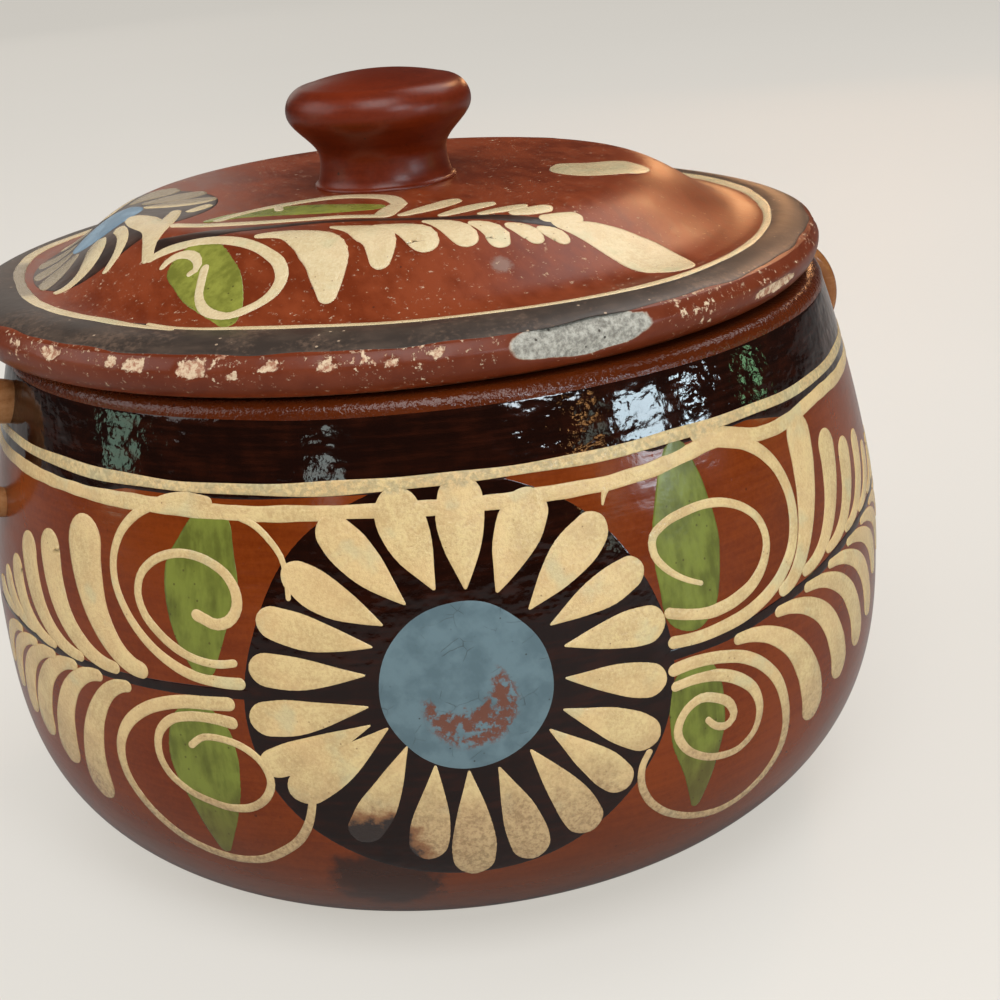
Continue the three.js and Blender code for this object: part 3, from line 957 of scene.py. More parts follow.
def border_inside(a):
    """The border begins under the middle of the cream line."""
    line = np.array(lid_line, float)
    at = np.unwrap(np.arctan2(line[:, 0], -line[:, 1]))
    r = np.hypot(line[:, 0], line[:, 1])
    return np.interp(a, at[:-1] % (2 * np.pi), r[:-1], period=2 * np.pi) - 0.2


def border_outside(a):
    """The border ends near r = 104.5."""
    return waver(a, 104.5, (0.25, 3, 1), (0.2, 9, 0), (0.25, 23, 2), (0.15, 41, 1))


def in_border(place, lift, turn=0.0):
    """As on_lid, but what would reach past r = 80 is drawn in, so that nothing crosses the
    border: r becomes 80 + 10 * tanh((r - 80) / 10)."""
    r = np.hypot(place[..., 0], place[..., 1])
    kept = np.minimum(r, 80) + 10 * np.tanh(np.maximum(r - 80, 0) / 10)
    return on_lid(place * (kept / np.maximum(r, 1e-6))[..., None], lift, turn)


lid_black = [hoop(around_lid, border_inside, border_outside, black_height, rows=14)]
lid_cream = [stroke(on_lid, lid_line, lid_line_widths, cream_height, wobble=0.14)]
print("the border begins at r = %.1f in front" % border_inside(0.0))

# %% The lid's stem, curls, drops and leaves
lid_black.append(stroke(on_lid, [(-55, -43), (-50, -46), (-43, -48), (-33.5, -48.5),
                                 (-24.5, -48.5), (-15.5, -48.5), (-6.5, -50.5), (2.5, -54),
                                 (11.5, -57.5), (25, -59.5), (33.5, -60), (38, -60)],
                        (5, 5.5, 5, 4, 3.2, 2.8, 2.6, 2.8, 3, 3, 3, 2.4), black_height, finish=1))
lid_green = [stroke(on_lid, [(-45.5, -51.5), (-44.3, -56), (-42.3, -60.5), (-40.5, -65),
                             (-38.6, -69.5), (-37.2, -74), (-36.2, -78.5), (-36, -83)],
                    (9, 13, 13.5, 13.5, 13, 11, 7.5, 3), green_height, wobble=0.03),
             stroke(on_lid, [(-43, -35), (-35, -30.5), (-25.5, -29.5), (-16, -32), (-6.5, -35),
                             (-0.5, -37)], (3, 8, 12, 12, 10, 5), green_height)]
lid_strokes = [
    ([(-52, -54.5), (-50, -53), (-47.5, -53), (-45, -54.5), (-43, -58), (-43.2, -60.5),
      (-45.5, -61)], (1.6, 2.4, 2.6, 2.6, 2.4, 2.2, 1.6)),
    ([(-41, -60.5), (-42, -65), (-42.5, -69), (-41.5, -73), (-39, -76.5), (-36, -78.5),
      (-32, -78), (-28.5, -77), (-26, -75.5), (-24, -72.5), (-24.3, -68.5), (-27, -64),
      (-31, -59), (-36, -54.5), (-41.5, -51.5), (-47.5, -49.5), (-52, -48.5), (-55.5, -48.5)],
     (2.4, 2.4, 2.4, 2.8, 3, 2.8, 2.4, 3, 3.2, 3, 2.8, 3, 3.4, 3.4, 3.2, 3, 3, 2.4)),
    ([(-30, -56), (-23, -57.5), (-17.5, -62.5), (-14.3, -68.5), (-14, -75), (-14.5, -82)],
     (2, 5.5, 9.5, 11, 8, 3)),
    ([(-13, -55.5), (-6.5, -60.5), (-2.3, -67), (-2.3, -71.5), (-3, -75.5)],
     (1.5, 6, 9, 7, 3.5)),
    ([(-3.5, -59), (3, -62.5), (7, -67), (7.5, -72)], (1.5, 5.5, 8, 6.5)),
    ([(7.5, -59), (12.5, -62.5), (16, -66.5), (16.5, -70.5)], (1.5, 5, 7, 5.5)),
    ([(17.5, -62), (21, -63.5), (23.5, -66), (23, -70)], (1.5, 4.5, 6, 4.5)),
    ([(25.5, -62.5), (29, -63.5), (31.5, -65), (31.8, -67.5)], (1.5, 4, 5, 4)),
    ([(32.5, -62.5), (35, -63), (37.5, -64), (38, -66)], (1.5, 3.5, 4.5, 4)),
    ([(-1.5, -50), (0.5, -42), (3, -34.5)], (5, 5.5, 4.5)),
    ([(2.5, -50), (9, -44.5), (16.5, -36.5)], (3, 6.5, 6)),
    ([(11.5, -55), (17.5, -49.5), (24.5, -45)], (3, 6, 5)),
    ([(20, -57), (25.5, -54), (31.5, -51.5)], (2.5, 5, 4.5)),
    ([(27, -57.5), (32, -55.5), (37, -53)], (2.5, 4.5, 4)),
    ([(33.5, -59), (38.5, -57.5), (43.5, -55.5)], (2.5, 4, 4)),
    ([(-50.5, -34.5), (-43.5, -38.5), (-32, -41.5), (-20.5, -43.3), (-11, -44.5), (-1, -48.5)],
     (3.5, 4, 3.8, 3.4, 3.4, 3)),
    ([(-40.5, -35.5), (-32.5, -27), (-23.5, -21.5), (-11.5, -18.5), (-0.5, -24.5),
      (3.5, -37.5)], (3, 3.5, 4, 4.5, 4.5, 3.5)),
    ([(-26, -24), (-25.5, -30)], (2.5, 2.5)),
    ([(36, -59.5), (41.5, -60), (46.5, -60.5), (51, -61.5), (55, -62.8), (59.5, -64),
      (63.5, -66), (66.5, -67.5)], (2.5, 4.5, 8, 11.5, 14.5, 15.5, 13, 8))]
lid_cream += strokes(on_lid, lid_strokes, cream_height)
print("%d cream strokes along the stem" % len(lid_strokes))

# %% The lid's flower and its far side
flower_eye = np.array([-69.0, -10.5])
lid_black.append(disc(in_border, flower_eye, 28, black_height, finish=1))
lid_blue = [disc(in_border, flower_eye, 9.3, blue_height)]
lid_petals = [((-70.5, -20), (-70.5, -27.5), (-72.5, -33.5), (-76.5, -36.5), (-82, -37.5),
               (5.5, 6.5, 6, 4, 2.5)),
              ((-65, -21), (-63, -28), (-63.3, -36), (-66.5, -42), (3.2, 3.2, 3.2, 2)),
              ((-62.5, -16), (-58.5, -23.5), (-55, -33.5), (-55, -42), (-55.5, -49),
               (3.5, 8, 6.5, 4.5, 2.5)),
              ((-51, -16), (-51.5, -25), (-52.5, -34), (-54.5, -42), (3, 4, 4, 3)),
              ((-48, -20), (-45.5, -16), (-43.3, -12), (3, 4.5, 3.5)),
              ((-60, -8), (-53, -7), (-47.5, -5.5), (-42.5, -3), (3, 8, 9.5, 6)),
              ((-61, -3), (-55, 0.5), (-50.5, 4), (-46.5, 8), (3, 8, 9.5, 6)),
              ((-64, 1), (-60.5, 7), (-57.5, 12), (-55, 17), (3, 8, 9.5, 6)),
              ((-70, 2), (-69.5, 9), (-68.5, 15), (-68, 20), (3, 8, 9, 6)),
              ((-76, 0), (-79, 6), (-82, 11), (-85, 16), (3, 7, 8, 5)),
              ((-78, -6), (-83, -4), (-88, -2), (-94, 0), (4, 9, 10, 8)),
              ((-78, -12), (-83, -13.5), (-88, -15), (-94, -17), (4, 9, 10, 8)),
              ((-76, -17.5), (-80.5, -22), (-84.5, -26.5), (-89, -31), (4, 8.5, 9.5, 7))]
lid_cream += strokes(in_border, [(path, widths) for *path, widths in lid_petals], cream_height)
far_stem = [(-52, 52), (-38, 62), (-18, 68), (2, 69), (20, 65), (36, 56), (47, 44)]
lid_black.append(stroke(on_lid, far_stem, (4, 3, 2.4, 2.2, 2.4, 2), black_height, finish=1))
far_drops = [((-40, 63), (-31, 77), 7), ((-29, 67), (-19, 82), 7), ((-17, 70), (-6, 84), 7),
             ((-5, 71), (6, 84), 6.5), ((7, 70), (18, 81), 6), ((19, 67), (29, 76), 5.5),
             ((30, 62), (39, 69), 5), ((39, 54.5), (47, 60), 4.5)]
lid_cream += [drop(on_lid, *leaf, cream_height) for leaf in far_drops]
pale_leaf = [(43, -2), (47, -8.5), (52.5, -12.5), (58.5, -15), (64.5, -15.5)]
lid_cream.append(stroke(on_lid, pale_leaf, (4, 15, 20, 18, 7), cream_height))
print("%d strokes in all" % stroke_count)

# %% [markdown]
# Glazed red clay
#
# The red of the dish is a clay slip under clear glaze. Wheel and brush leave level streaks in it,
# the glaze pools in soft ripples, and iron shows as dark specks. The glaze could be a clear coat
# over the shader, but a coat lies mirror smooth over every bump. Here the base shader itself is
# smooth enough to shine, and its bump breaks the shine up as a hand-dipped glaze does.

# %% Places and streaks
def dish_point(arc_length, z):
    """One point of the dish's wall, in millimetres."""
    return on_dish(np.array([arc_length, z], float), 0)


def lid_point(x, y):
    """One point of the lid's top, in millimetres."""
    return on_lid(np.array([x, y], float), 0)


def near(paint, place, size, ragged=None):
    """The distance to one place, in sizes, with its outline made ragged by noise."""
    apart = paint.vector("DISTANCE", paint.at, [float(v) for v in place]) * (1 / size)
    return apart if ragged is None else apart + (ragged - 0.5) * 0.9


def from_axis(paint, centre=(0, 0)):
    """The level distance to an upright axis: the length of (x, y, z) less the centre, times
    (1, 1, 0)."""
    apart = paint.vector("SUBTRACT", paint.at, [float(v) for v in (*centre, 0)])
    return paint.vector("LENGTH", paint.vector("MULTIPLY", apart, (1.0, 1.0, 0.0)))


def level_streaks(paint, size, shift=0.0):
    """Noise drawn out round the pot, and fine up and down, as a brush on a wheel leaves it."""
    return paint.noise(size, 5, 0.6, (7, 7, 0.5), shift=shift)

# %% The reds of dish, knob and handles
def browned(paint, colour, clouds, mottle):
    """Darker and browner below z = 62, painted shade on the lip under the lid's edge above
    z = 128.5, and smoked below the flower."""
    low = paint.step(paint.z + clouds * 22, 62, 18) * 0.75
    colour = paint.mix(low, colour, (0.085, 0.026, 0.010))
    # Painted shade: the lip under the lid's edge is darkened almost to black.
    lip_shade = paint.step(paint.z + mottle * 2, 128.5, 131.0) * 0.6
    colour = paint.mix(lip_shade, colour, (0.026, 0.005, 0.0015))
    fire = near(paint, dish_point(-22.0, 25.0), 13, paint.noise(5, 4, 0.65))
    return paint.mix(paint.step(fire, 1.1, 0.7) * 0.85, colour, (0.020, 0.010, 0.007))


def glazed_red(name, dark, light, rough, pot=False):
    """Streaked red clay under a clear glaze: dark to light by level streaks, soft clouds and fine
    mottling, iron specks, and small ripples and pits in the surface. The pot is also darker
    towards its foot, smoked below the flower and given painted shade on its lip, and the glaze on
    its lip is rippled more."""
    paint = Paint(name)
    clouds = paint.noise(26, 4, shift=4.0)
    mottle = paint.noise(1.1, 3, 0.7)
    streaks = level_streaks(paint, 2.6)
    tone = paint.step(streaks * 0.3 + clouds * 0.45 + mottle * 0.25, 0.36, 0.64)
    specks = paint.dots(5.2, 0.085, 0.05) * paint.patches(9, 2, 0.45, 0.6)
    colour = paint.mix(specks * 0.8, paint.mix(tone, dark, light), (0.02, 0.006, 0.003))
    ripple = paint.noise(7, 2, stretch=(1.6, 1.6, 1)) * 0.14 + paint.noise(1.5, 2) * 0.03
    if pot:
        colour = browned(paint, colour, clouds, mottle)
        ripple = ripple + paint.step(paint.z, 127.5, 130) * paint.noise(1.2, 2, 0.6) * 0.3
    rings = level_streaks(paint, 9.0, 7.0) * 0.08
    pits = paint.dots(3.4, 0.10, 0.03) * 0.03
    return paint.finish(Base_Color=colour, Roughness=tone * 0.05 + rough, Specular_IOR_Level=0.28,
                        Normal=paint.bump(ripple + rings - pits))


dish_red = glazed_red("dish_red", (0.106, 0.0155, 0.0016), (0.162, 0.028, 0.003), 0.13, pot=True)
knob_red = glazed_red("knob_red", (0.080, 0.008, 0.001), (0.135, 0.015, 0.002), 0.30)
handle_brown = glazed_red("handle_brown", (0.20, 0.07, 0.02), (0.36, 0.17, 0.07), 0.2)
inner_glaze = glazed_red("inner_glaze", (0.09, 0.02, 0.005), (0.17, 0.048, 0.013), 0.12)

# %% [markdown]
# Bare clay
#
# The foot of the dish and the underside of the lid were wiped free of glaze so that they wouldn't
# stick in the kiln. Bare earthenware is matt, paler and sandy, with fine turning rings.

# %% The bare clay
def bare_clay(name, dark, light):
    """Matt clay: sandy grain over soft clouds, and rings from the turning tool."""
    paint = Paint(name)
    clouds = paint.noise(18, 4)
    grain = paint.noise(0.9, 3, 0.7)
    colour = paint.mix(paint.step(clouds * 0.6 + grain * 0.4, 0.35, 0.65), dark, light)
    colour = paint.mix(paint.dots(2.3, 0.13, 0.07) * 0.7, colour, (0.42, 0.24, 0.13))
    rings = paint.math("SINE", from_axis(paint) * 2.6 + clouds * 6) * 0.02
    return paint.finish(Base_Color=colour, Roughness=grain * 0.2 + 0.72,
                        Normal=paint.bump(rings + grain * 0.05))


bare_foot = bare_clay("bare_foot", (0.20, 0.07, 0.03), (0.34, 0.15, 0.075))

# %% [markdown]
# The lid's worn red
#
# The lid has lost most of its shine. Its red is satin, peppered with fine pale specks. Where the
# edge has been knocked, buff clay shows, and one big knock has turned the grey of old stone. The
# mesh knows how deep each chip is, and the finish reads that.

# %% The lid's red, dust and specks
def dusty_red(paint, tone):
    """Red from dark to light, with patches of fine pale dust, dark specks, and one grey rub."""
    colour = paint.mix(tone, (0.125, 0.019, 0.004), (0.192, 0.035, 0.009))
    dust_room = paint.patches(30, 2, 0.42, 0.6, shift=9.0) * paint.patches(3.2, 2, 0.5, 0.6)
    dust = paint.dots(1.5, 0.16, 0.08) * dust_room
    colour = paint.mix(dust * 0.55, colour, (0.45, 0.25, 0.13))
    colour = paint.mix(paint.dots(6.5, 0.06, 0.035) * 0.8, colour, (0.03, 0.012, 0.008))
    rub = near(paint, lid_point(23.5, -74.5), 4.0, paint.noise(1.6, 4, 0.75))
    return paint.mix(paint.step(rub, 0.75, 0.35) * 0.5, colour, (0.25, 0.19, 0.155))

# %% The lid's chipped edge
def worn_red(name):
    """Dusty red, darker on the edge. Buff clay shows in the chips and in flecks along the edge's
    upper half, and grey stone in the big chip. The mesh gives a chip's depth; knock is the noise
    that frays its rim, and within 20 mm of the big chip it frays far less."""
    paint = Paint(name)
    streaks = paint.noise(4, 4, 0.6, (1, 3, 1))
    tone = paint.step(paint.noise(24, 3) * 0.5 + streaks * 0.5, 0.38, 0.62)
    colour = dusty_red(paint, tone)
    knock = paint.noise(1.6, 4, 0.75)
    stone_room = paint.step(near(paint, lid_point(38.0, -99.0), 20), 1.0, 0.9)
    frayed = paint.part(paint.brush(), "X") + (knock - 0.5) * (1.0 - stone_room * 0.9)
    chipped = paint.step(frayed, 0.10, 0.26)
    on_edge = paint.step(from_axis(paint, lid_centre), 103.4, 105.2)
    upper_half = paint.step(paint.z, lid_seat + 4.5, lid_seat + 8.5)
    scatter = paint.noise(1.5, 4, 0.65) * 0.65 + paint.noise(11, 2, shift=3.0) * 0.35
    flecks = paint.step(scatter + upper_half * 0.045, 0.61, 0.66)
    buff = paint.math("MAXIMUM", chipped, flecks * on_edge)
    buff_clay = paint.mix(paint.step(knock, 0.4, 0.58), (0.36, 0.17, 0.10), (0.66, 0.50, 0.33))
    grain = paint.noise(1.1, 4, 0.7)
    grey_stone = paint.mix(paint.step(grain, 0.3, 0.7), (0.16, 0.145, 0.12), (0.42, 0.395, 0.335))
    stone = stone_room * chipped
    colour = paint.mix(on_edge * 0.6, colour, (0.10, 0.020, 0.008))
    colour = paint.mix(buff * 0.85, colour, buff_clay)
    colour = paint.mix(stone, colour, grey_stone)
    colour = paint.mix(stone * paint.dots(2.6, 0.16, 0.08), colour, (0.06, 0.05, 0.04))
    height = paint.noise(8, 2) * 0.08 + paint.noise(1.4, 3) * 0.015 + grain * (buff * 0.12)
    return paint.finish(Base_Color=colour, Roughness=buff * 0.4 + tone * 0.06 + 0.30,
                        Specular_IOR_Level=0.2, Normal=paint.bump(height))


lid_red = worn_red("lid_red")

# %% [markdown]
# Black slip
#
# Black-brown slip rich in iron and manganese melts to the glossiest skin on the pot. Its surface
# is full of shallow ripples that break a window's reflection into bright flakes. On the lid the
# same slip has been rubbed to a dusty satin.

# %% The black slips
def black_slip(name, dark, brown, rough, ripple, dusty=0.0):
    """Near black with brown level streaks. Ripples of three sizes bend its reflections, more in
    some stretches than in others."""
    paint = Paint(name)
    tone = paint.step(level_streaks(paint, 2.4) * 0.6 + paint.noise(5, 3) * 0.4, 0.42, 0.68)
    colour = paint.mix(tone, dark, brown)
    if dusty:
        wear = paint.step(paint.noise(1.3, 4, 0.7) * 0.6 + paint.noise(12, 2) * 0.4, 0.5, 0.66)
        colour = paint.mix(wear * dusty, colour, (0.17, 0.105, 0.07))
        colour = paint.mix(paint.dots(4.6, 0.09, 0.05) * 0.8, colour, (0.42, 0.3, 0.2))
    wide = paint.noise(12, 1, stretch=(1, 1, 0.8)) * (0.45 * ripple)
    uneasy = paint.patches(28, 1, 0.35, 0.6, shift=5.0) * 0.8 + 0.5
    small = paint.noise(2.6, 1, stretch=(1.2, 1.2, 0.9)) * (0.15 * ripple)
    fine = paint.noise(1.0, 2, 0.6) * (0.03 * ripple)
    return paint.finish(Base_Color=colour, Roughness=tone * 0.04 + rough, Specular_IOR_Level=0.35,
                        Normal=paint.bump(wide + (small + fine) * uneasy))


dish_black = black_slip("dish_black", (0.007, 0.0018, 0.0009), (0.019, 0.0038, 0.0014), 0.05, 1.0)
stem_black = black_slip("stem_black", (0.022, 0.010, 0.007), (0.05, 0.02, 0.011), 0.3, 0.5)
lid_band = black_slip("lid_band", (0.036, 0.025, 0.019), (0.068, 0.045, 0.032), 0.4, 0.4, 0.45)

# %% [markdown]
# Cream slip
#
# Cream slip is thick and a little grainy, and the clay shows through where the stroke thins at
# its edges. Kiln smoke has browned the dish's lowest strokes, and one petal near the foot is
# scorched black. The furthest petals of the lid are greyed and darkened by a painted sheen and
# shade. The stroke's own attribute says how far across and along the brush each point lies.

# %% Smoke and wear on the cream
def smoked_cream(paint, colour, clouds):
    """The dish's cream: the upper line worn, smoke rising to z = 60, and the scorched petal, brown
    round a black heart."""
    worn = paint.step(paint.z, 114.8, 115.8) * paint.patches(1.2, 4, 0.4, 0.6, 0.7)
    colour = paint.mix(worn * 0.6, colour, (0.27, 0.225, 0.12))
    low = paint.step(paint.z + (clouds - 0.5) * 18, 60, 36)
    smoke = paint.patches(1.2, 4, 0.38, 0.64, 0.75)
    colour = paint.mix(low * 0.7, colour, paint.mix(smoke, (0.40, 0.26, 0.13), (0.15, 0.08, 0.04)))
    fire = near(paint, dish_point(-23.5, 34.0), 13, paint.noise(6, 4, 0.65))
    colour = paint.mix(paint.step(fire, 1.12, 0.88), colour, (0.20, 0.085, 0.032))
    return paint.mix(paint.step(fire, 0.92, 0.72), colour, (0.022, 0.012, 0.009))


def sheen_and_shade_cream(paint, colour):
    """The lid's cream: painted grey sheen and shade round two places of its flower."""
    # Painted sheen and shade: the far petals are greyed and darkened.
    far_left = paint.step(near(paint, lid_point(-87, -12), 25), 1.0, 0.7)
    far_side = paint.step(near(paint, lid_point(-51, 6), 17), 1.0, 0.75)
    return paint.mix(paint.math("MAXIMUM", far_left, far_side) * 0.85, colour, (0.23, 0.18, 0.12))

# %% The cream slips
def cream_slip(name, light, shade, warm, thin, smoked):
    """Light to shade in fine grain, with warm and copper-green clouds, thin clay-brown edges and
    iron specks. Then the dish's cream is smoked, or the lid's is given its painted sheen and shade."""
    paint = Paint(name)
    layer = paint.brush()
    across = paint.math("ABSOLUTE", paint.part(layer, "Y"))
    lines = paint.vector("MULTIPLY", layer, (0.05, 2.6, 40.0))
    bristles = paint.node("ShaderNodeTexNoise", (), {"Vector": lines, "Scale": 1.0,
                                                     "Detail": 3.0})
    clouds = paint.noise(7, 4, 0.6)
    grain = paint.noise(0.8, 4, 0.7)
    tone = paint.step(bristles * 0.14 + clouds * 0.4 + grain * 0.46, 0.38, 0.62)
    colour = paint.mix(tone, shade, light)
    colour = paint.mix(paint.patches(15, 2, 0.42, 0.62, shift=8.0) * 0.35, colour, warm)
    copper = paint.patches(11, 3, 0.56, 0.70, shift=14.0)
    colour = paint.mix(copper * 0.4, colour, (0.43, 0.42, 0.25))
    edge = paint.step(across + (clouds - 0.5) * 0.2, 0.86, 1.04)
    colour = paint.mix(edge * 0.5, colour, thin)
    specks = paint.dots(2.1, 0.12, 0.06) * paint.patches(11, 2, 0.44, 0.62, shift=2.0)
    colour = paint.mix(specks * 0.7, colour, (0.16, 0.085, 0.04))
    colour = smoked_cream(paint, colour, clouds) if smoked else sheen_and_shade_cream(paint, colour)
    return paint.finish(Base_Color=colour, Roughness=tone * 0.06 + 0.14, Specular_IOR_Level=0.6,
                        Normal=paint.bump(bristles * 0.03 + clouds * 0.1 + grain * 0.24))


dish_cream = cream_slip("dish_cream", (0.60, 0.44, 0.205), (0.455, 0.305, 0.135),
                        (0.63, 0.405, 0.185), (0.42, 0.20, 0.07), True)
lid_cream_finish = cream_slip("lid_cream", (0.62, 0.50, 0.295), (0.53, 0.395, 0.215),
                              (0.63, 0.47, 0.28), (0.46, 0.24, 0.12), False)

# %% [markdown]
# Green and blue slips
#
# Copper makes the leaf green. It is thin, so it is streaky and lets some red through. The blue
# eye of the flower is a stiff grey-blue slip that has crazed into fine cells, and on the lower
# half of the front eye it is worn through to the red.

# %% The green slips
def green_slip(name, dark, light):
    """Dark to light in clouds and upright streaks, with dark specks, and browned below z = 52."""
    paint = Paint(name)
    clouds = paint.noise(9, 4, 0.6)
    streaks = paint.noise(2.6, 4, 0.6, (1, 1, 4))
    colour = paint.mix(paint.step(clouds * 0.5 + streaks * 0.5, 0.36, 0.62), dark, light)
    colour = paint.mix(paint.dots(2.6, 0.13, 0.07) * 0.7, colour, (0.05, 0.035, 0.01))
    low = paint.step(paint.z + (clouds - 0.5) * 12, 52, 38) * 0.5
    colour = paint.mix(low, colour, (0.085, 0.05, 0.018))
    return paint.finish(Base_Color=colour, Roughness=clouds * 0.1 + 0.2, Specular_IOR_Level=0.25,
                        Normal=paint.bump(clouds * 0.15 + paint.noise(1.5, 2) * 0.03))


dish_green = green_slip("dish_green", (0.082, 0.088, 0.013), (0.15, 0.168, 0.026))
lid_green_finish = green_slip("lid_green", (0.13, 0.133, 0.02), (0.225, 0.23, 0.038))

# %% The blue slips
def blue_slip(name, pale, deep):
    """Grey-blue with soft clouds. Cracks are the thin borders between cells, bent by noise. The
    worn place is a crescent: within 10.6 mm of one point, but not within 9.2 mm of a higher."""
    paint = Paint(name)
    clouds = paint.noise(8, 4, 0.6)
    colour = paint.mix(paint.step(clouds, 0.38, 0.62), deep, pale)
    slow = paint.vector("SCALE", paint.at, Scale=0.25)
    bend = paint.node("ShaderNodeTexNoise", (), {"Vector": slow, "Scale": 1.0, "Detail": 2.0},
                      "Color")
    warped = paint.vector("ADD", paint.at, bend)
    cracks = paint.step(paint.cells(6.5, "DISTANCE_TO_EDGE", at=warped), 0.012, 0.002)
    cracks = cracks * paint.patches(4, 3, 0.5, 0.6, shift=6.0)
    fine = paint.patches(0.9, 4, 0.36, 0.28, 0.75) * 0.3
    colour = paint.mix(paint.math("MAXIMUM", cracks * 0.5, fine), colour, (0.035, 0.04, 0.04))
    specks = paint.dots(2.6, 0.10, 0.05) * paint.patches(7, 2, 0.42, 0.55)
    colour = paint.mix(specks * 0.8, colour, (0.02, 0.015, 0.012))
    rub = paint.noise(2.4, 4, 0.65)
    worn = paint.step(near(paint, dish_point(0.8, 69.8), 10.6, rub), 1.0, 0.86)
    kept = paint.step(near(paint, dish_point(-1.6, 76.5), 9.2, rub), 0.86, 1.0)
    worn = worn * kept * paint.step(rub, 0.39, 0.51)
    colour = paint.mix(worn * 0.92, colour, (0.13, 0.035, 0.014))
    height = clouds * 0.12 - cracks * 0.05 - worn * 0.08 + paint.noise(1.0, 3) * 0.02
    return paint.finish(Base_Color=colour, Roughness=worn * 0.1 + 0.42, Specular_IOR_Level=0.3,
                        Normal=paint.bump(height))


dish_blue = blue_slip("dish_blue", (0.105, 0.155, 0.172), (0.075, 0.115, 0.13))
lid_blue_finish = blue_slip("lid_blue", (0.20, 0.29, 0.36), (0.13, 0.2, 0.26))

# %% [markdown]
# Pieces and bodies
#
# The skins are now gathered into pieces. Each piece rides on the body that carries it, and the
# five clay skins stand in for the five imported solids.

# %% Gather the pieces
def piece(name, skins, materials, body, slot, node=None):
    """Builds a piece, puts it on the body that carries it, and hides the solid it stands for. Its
    slot is not used.
    """
    made = build(name, skins, materials)
    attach(made, body)
    if node:
        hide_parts(node)


piece("dish_shell", [dish_skin], [dish_red, bare_foot, inner_glaze], "dish", "dish_clay",
      "dish_body")
piece("right_strap", [right_strap_skin], [handle_brown], "dish", "handle_clay", "handle_right")
piece("left_strap", [left_strap_skin], [handle_brown], "dish", "handle_clay", "handle_left")
piece("lid_shell", [lid_skin], [lid_red, bare_foot], "lid", "lid_clay", "lid_body")
piece("knob_turned", [knob_skin], [knob_red], "lid", "knob_clay", "lid_knob")
piece("dish_rim_band", [rim_band], [dish_black], "dish", "black_slip")
piece("dish_black_slip", black_skins, [dish_black], "dish", "black_slip")
piece("dish_green_slip", green_skins, [dish_green], "dish", "green_slip")
piece("dish_blue_slip", blue_skins, [dish_blue], "dish", "blue_slip")
piece("dish_cream_slip", cream_skins, [dish_cream], "dish", "cream_slip")
piece("lid_black_slip", lid_black, [lid_band, stem_black], "lid", "black_slip")
piece("lid_green_slip", lid_green, [lid_green_finish], "lid", "green_slip")
piece("lid_blue_slip", lid_blue, [lid_blue_finish], "lid", "blue_slip")
piece("lid_cream_slip", lid_cream, [lid_cream_finish], "lid", "cream_slip")

# %% [markdown]
# The table
#
# A wide pale floor carries the dish and keeps its shadow. The camera sees it mixed with an even
# pale glow, so that it stays as light as a table beside a window. The glaze mirrors it mixed with
# a dark glow instead, or else the lower half of the pot would be one white sheet.

# %% The floor
floor_half = 5000.0
corner = np.array([(-1, -1, 0), (1, -1, 0), (1, 1, 0), (-1, 1, 0)]) * floor_half * mm
floor_mesh = bpy.data.meshes.new("table")
floor_mesh.from_pydata(corner.tolist(), [], [(0, 1, 2, 3)])
paint = Paint("table_top")
board = paint.node("ShaderNodeBsdfPrincipled", (), {
    "Base Color": paint.mix(paint.noise(300, 2), (0.74, 0.73, 0.71), (0.80, 0.79, 0.77)),
    "Roughness": 0.5})
pale_glow = paint.node("ShaderNodeEmission", (), {"Color": (0.75, 0.71, 0.64)})
dark_glow = paint.node("ShaderNodeEmission", (), {"Color": (0.05, 0.05, 0.048)})
looked_at = paint.node("ShaderNodeLightPath", out="Is Camera Ray")
mirrored = paint.node("ShaderNodeLightPath", out="Is Glossy Ray")
plain = paint.node("ShaderNodeMixShader", (), {0: mirrored * 0.6, 1: board, 2: dark_glow})
paint.end(paint.node("ShaderNodeMixShader", (), {0: looked_at * 0.7, 1: plain, 2: pale_glow}))
floor_mesh.materials.append(paint.material)
table = bpy.data.objects.new("table", floor_mesh)
bpy.context.scene.collection.objects.link(table)
print("the table is %.0f m wide" % (2 * floor_half * mm))

# %% [markdown]
# Daylight
#
# The photo was taken in a bright room. A plain world fills the shadows. The glaze mirrors a much
# dimmer one, so that the black slip stays black. Two broad ceiling lights and a wall on the left
# give the daylight, and a faint wall behind the pot lightens the lid. They hang high or aside, so
# that the walls of the pot don't mirror them. Two small warm lamps at the back right leave the
# orange glow on the lid's flank. Low panes give the glaze its bright flakes, each placed where the
# flake's reflection leads.

# %% The world
world = bpy.data.worlds.new("room")
bpy.context.scene.world = world
room = Nodes(world)


def air(colour, strength):
    """The same light from all sides: a colour times a strength."""
    return room.node("ShaderNodeBackground", (), {"Color": colour, "Strength": strength})


backdrop = air((0.84, 0.82, 0.79), 1.0)
fill = air((0.97, 0.985, 1.0), 0.38)
dim = air((0.95, 0.97, 1.0), 0.035)
looked_at = room.node("ShaderNodeLightPath", out="Is Camera Ray")
mirrored = room.node("ShaderNodeLightPath", out="Is Glossy Ray")
around_pot = room.node("ShaderNodeMixShader", (), {0: mirrored, 1: fill, 2: dim})
room.end(room.node("ShaderNodeMixShader", (), {0: looked_at, 1: around_pot, 2: backdrop}), "World")
print("the world has %d nodes" % len(room.tree.nodes))

# %% The windows and lamps
pot_middle = Vector((0, 0, 0.1))


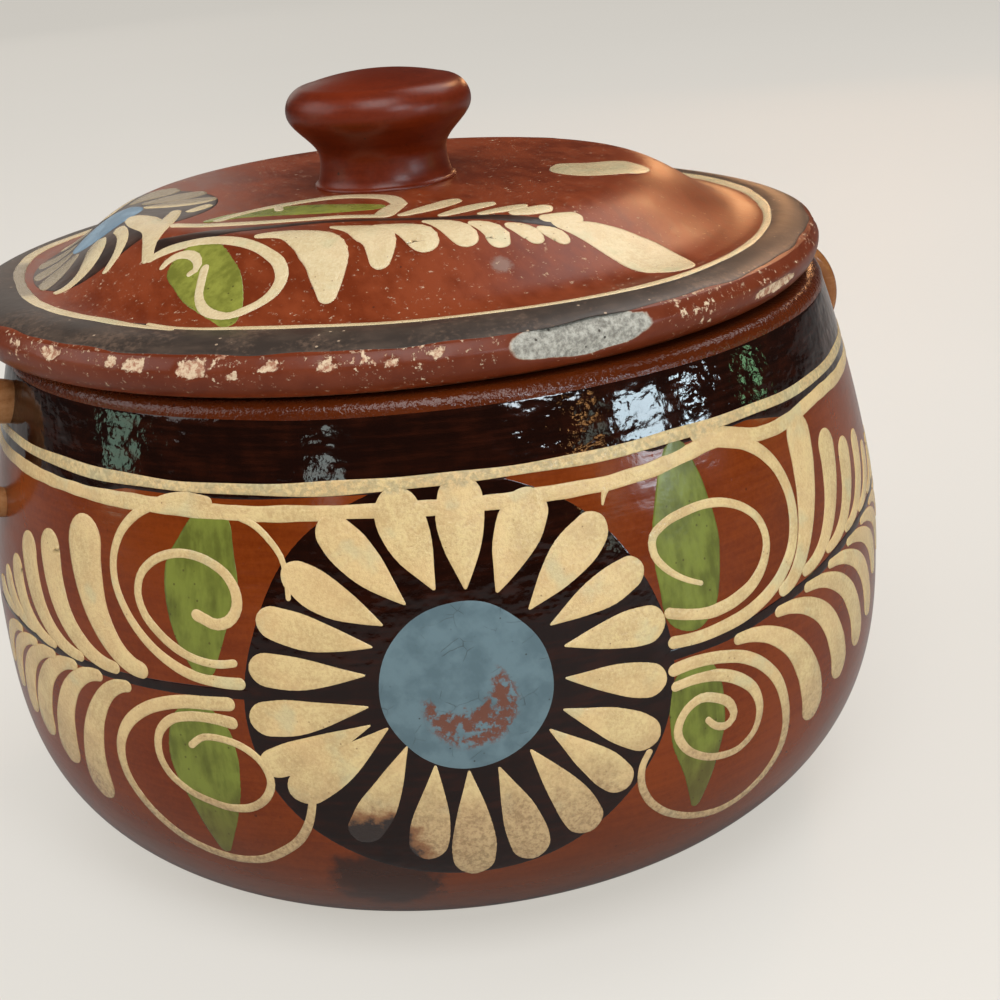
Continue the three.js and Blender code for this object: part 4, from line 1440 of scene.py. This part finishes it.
def window(name, azimuth, elevation, distance, width, height, radiance, colour=(1, 1, 1)):
    """A bright rectangle that faces the pot from (sin a cos e, -cos a cos e, sin e) * distance:
    azimuth a is 0 towards -Y and 90 towards +X. Its watts are pi * area * radiance, and it lights
    a facing surface by radiance * area / (pi * distance^2)."""
    a, e = math.radians(azimuth), math.radians(elevation)
    away = Vector((math.sin(a) * math.cos(e), -math.cos(a) * math.cos(e), math.sin(e)))
    light = bpy.data.lights.new(name, "AREA")
    light.shape = "RECTANGLE"
    light.size, light.size_y = width, height
    light.energy, light.color = math.pi * width * height * radiance, colour
    pane = bpy.data.objects.new(name, light)
    pane.location = pot_middle + away * distance
    pane.rotation_euler = (-away).to_track_quat("-Z", "Y").to_euler()
    bpy.context.scene.collection.objects.link(pane)


window("ceiling_front", -20, 54, 1.7, 1.0, 1.0, 6.0)
window("ceiling_right", 105, 52, 1.7, 0.9, 0.9, 3.5)
window("left_wall", -105, 32, 1.7, 1.4, 1.0, 2.4)
window("back_wall", 177, 12, 2.6, 1.0, 0.8, 0.8, (1.0, 0.90, 0.80))
window("back_lamp", 141.5, 10, 1.3, 0.12, 0.12, 12.0, (1.0, 0.50, 0.22))
window("warm_lamp", 124, 32, 1.3, 0.16, 0.16, 22.0, (1.0, 0.50, 0.22))
window("high_pane", 9, 22.8, 1.4, 0.36, 0.15, 28.0, (0.80, 0.92, 1.0))
window("orange_pane", 19, 12, 1.4, 0.13, 0.06, 12.0, (1.0, 0.50, 0.18))
window("grey_pane", 22, 5, 1.4, 0.11, 0.12, 3.0, (0.7, 0.85, 0.72))
window("right_pane", 34.5, 7.0, 1.4, 0.22, 0.137, 26.0, (0.72, 0.90, 1.0))
window("far_right_pane", 49.5, 6.3, 1.4, 0.11, 0.06, 32.0, (0.72, 0.90, 1.0))
window("garden_right", 71, 3.5, 1.4, 0.12, 0.09, 6.0, (0.45, 1.0, 0.5))
window("garden_left", -104, 5.2, 1.4, 0.22, 0.2, 3.0, (0.6, 1.0, 0.75))
window("left_pane", -45, 8.2, 1.4, 0.07, 0.14, 6.0, (0.85, 1.0, 0.95))
print("%d windows and lamps" % len(bpy.data.lights))

# %% [markdown]
# The camera
#
# The camera was found by fitting the rim, the lid's edge and the painted lines in the photo. It
# stands close, so its wide field makes the near side swell as it does there. A small roll about
# the line of sight matches the tilt of the picture.

# %% The camera
camera_place = Vector((-162.1, -445.5, 241.4)) * mm
heading, tilt, roll = (math.radians(v) for v in (22.02, 19.42, -5.09))
focal_pixels, frame_pixels, sensor = 1900, 1000, 36.0
forward = Vector((math.sin(heading) * math.cos(tilt), math.cos(heading) * math.cos(tilt),
                  -math.sin(tilt)))
level = Vector((math.cos(heading), -math.sin(heading), 0))
upright = level.cross(forward)
right = math.cos(roll) * level + math.sin(roll) * upright
up = -math.sin(roll) * level + math.cos(roll) * upright
view = bpy.data.cameras.new("view")
view.sensor_width = sensor
view.lens = sensor * focal_pixels / frame_pixels
view.clip_start, view.clip_end = 0.02, 50
camera = bpy.data.objects.new("view", view)
turned = Matrix((right, up, -forward)).transposed().to_4x4()
camera.matrix_world = Matrix.Translation(camera_place) @ turned
bpy.context.scene.collection.objects.link(camera)
bpy.context.scene.camera = camera
bpy.context.scene.view_settings.view_transform = "Standard"
print("the camera stands %.0f mm from the pot's middle" % ((camera_place - pot_middle).length / mm))
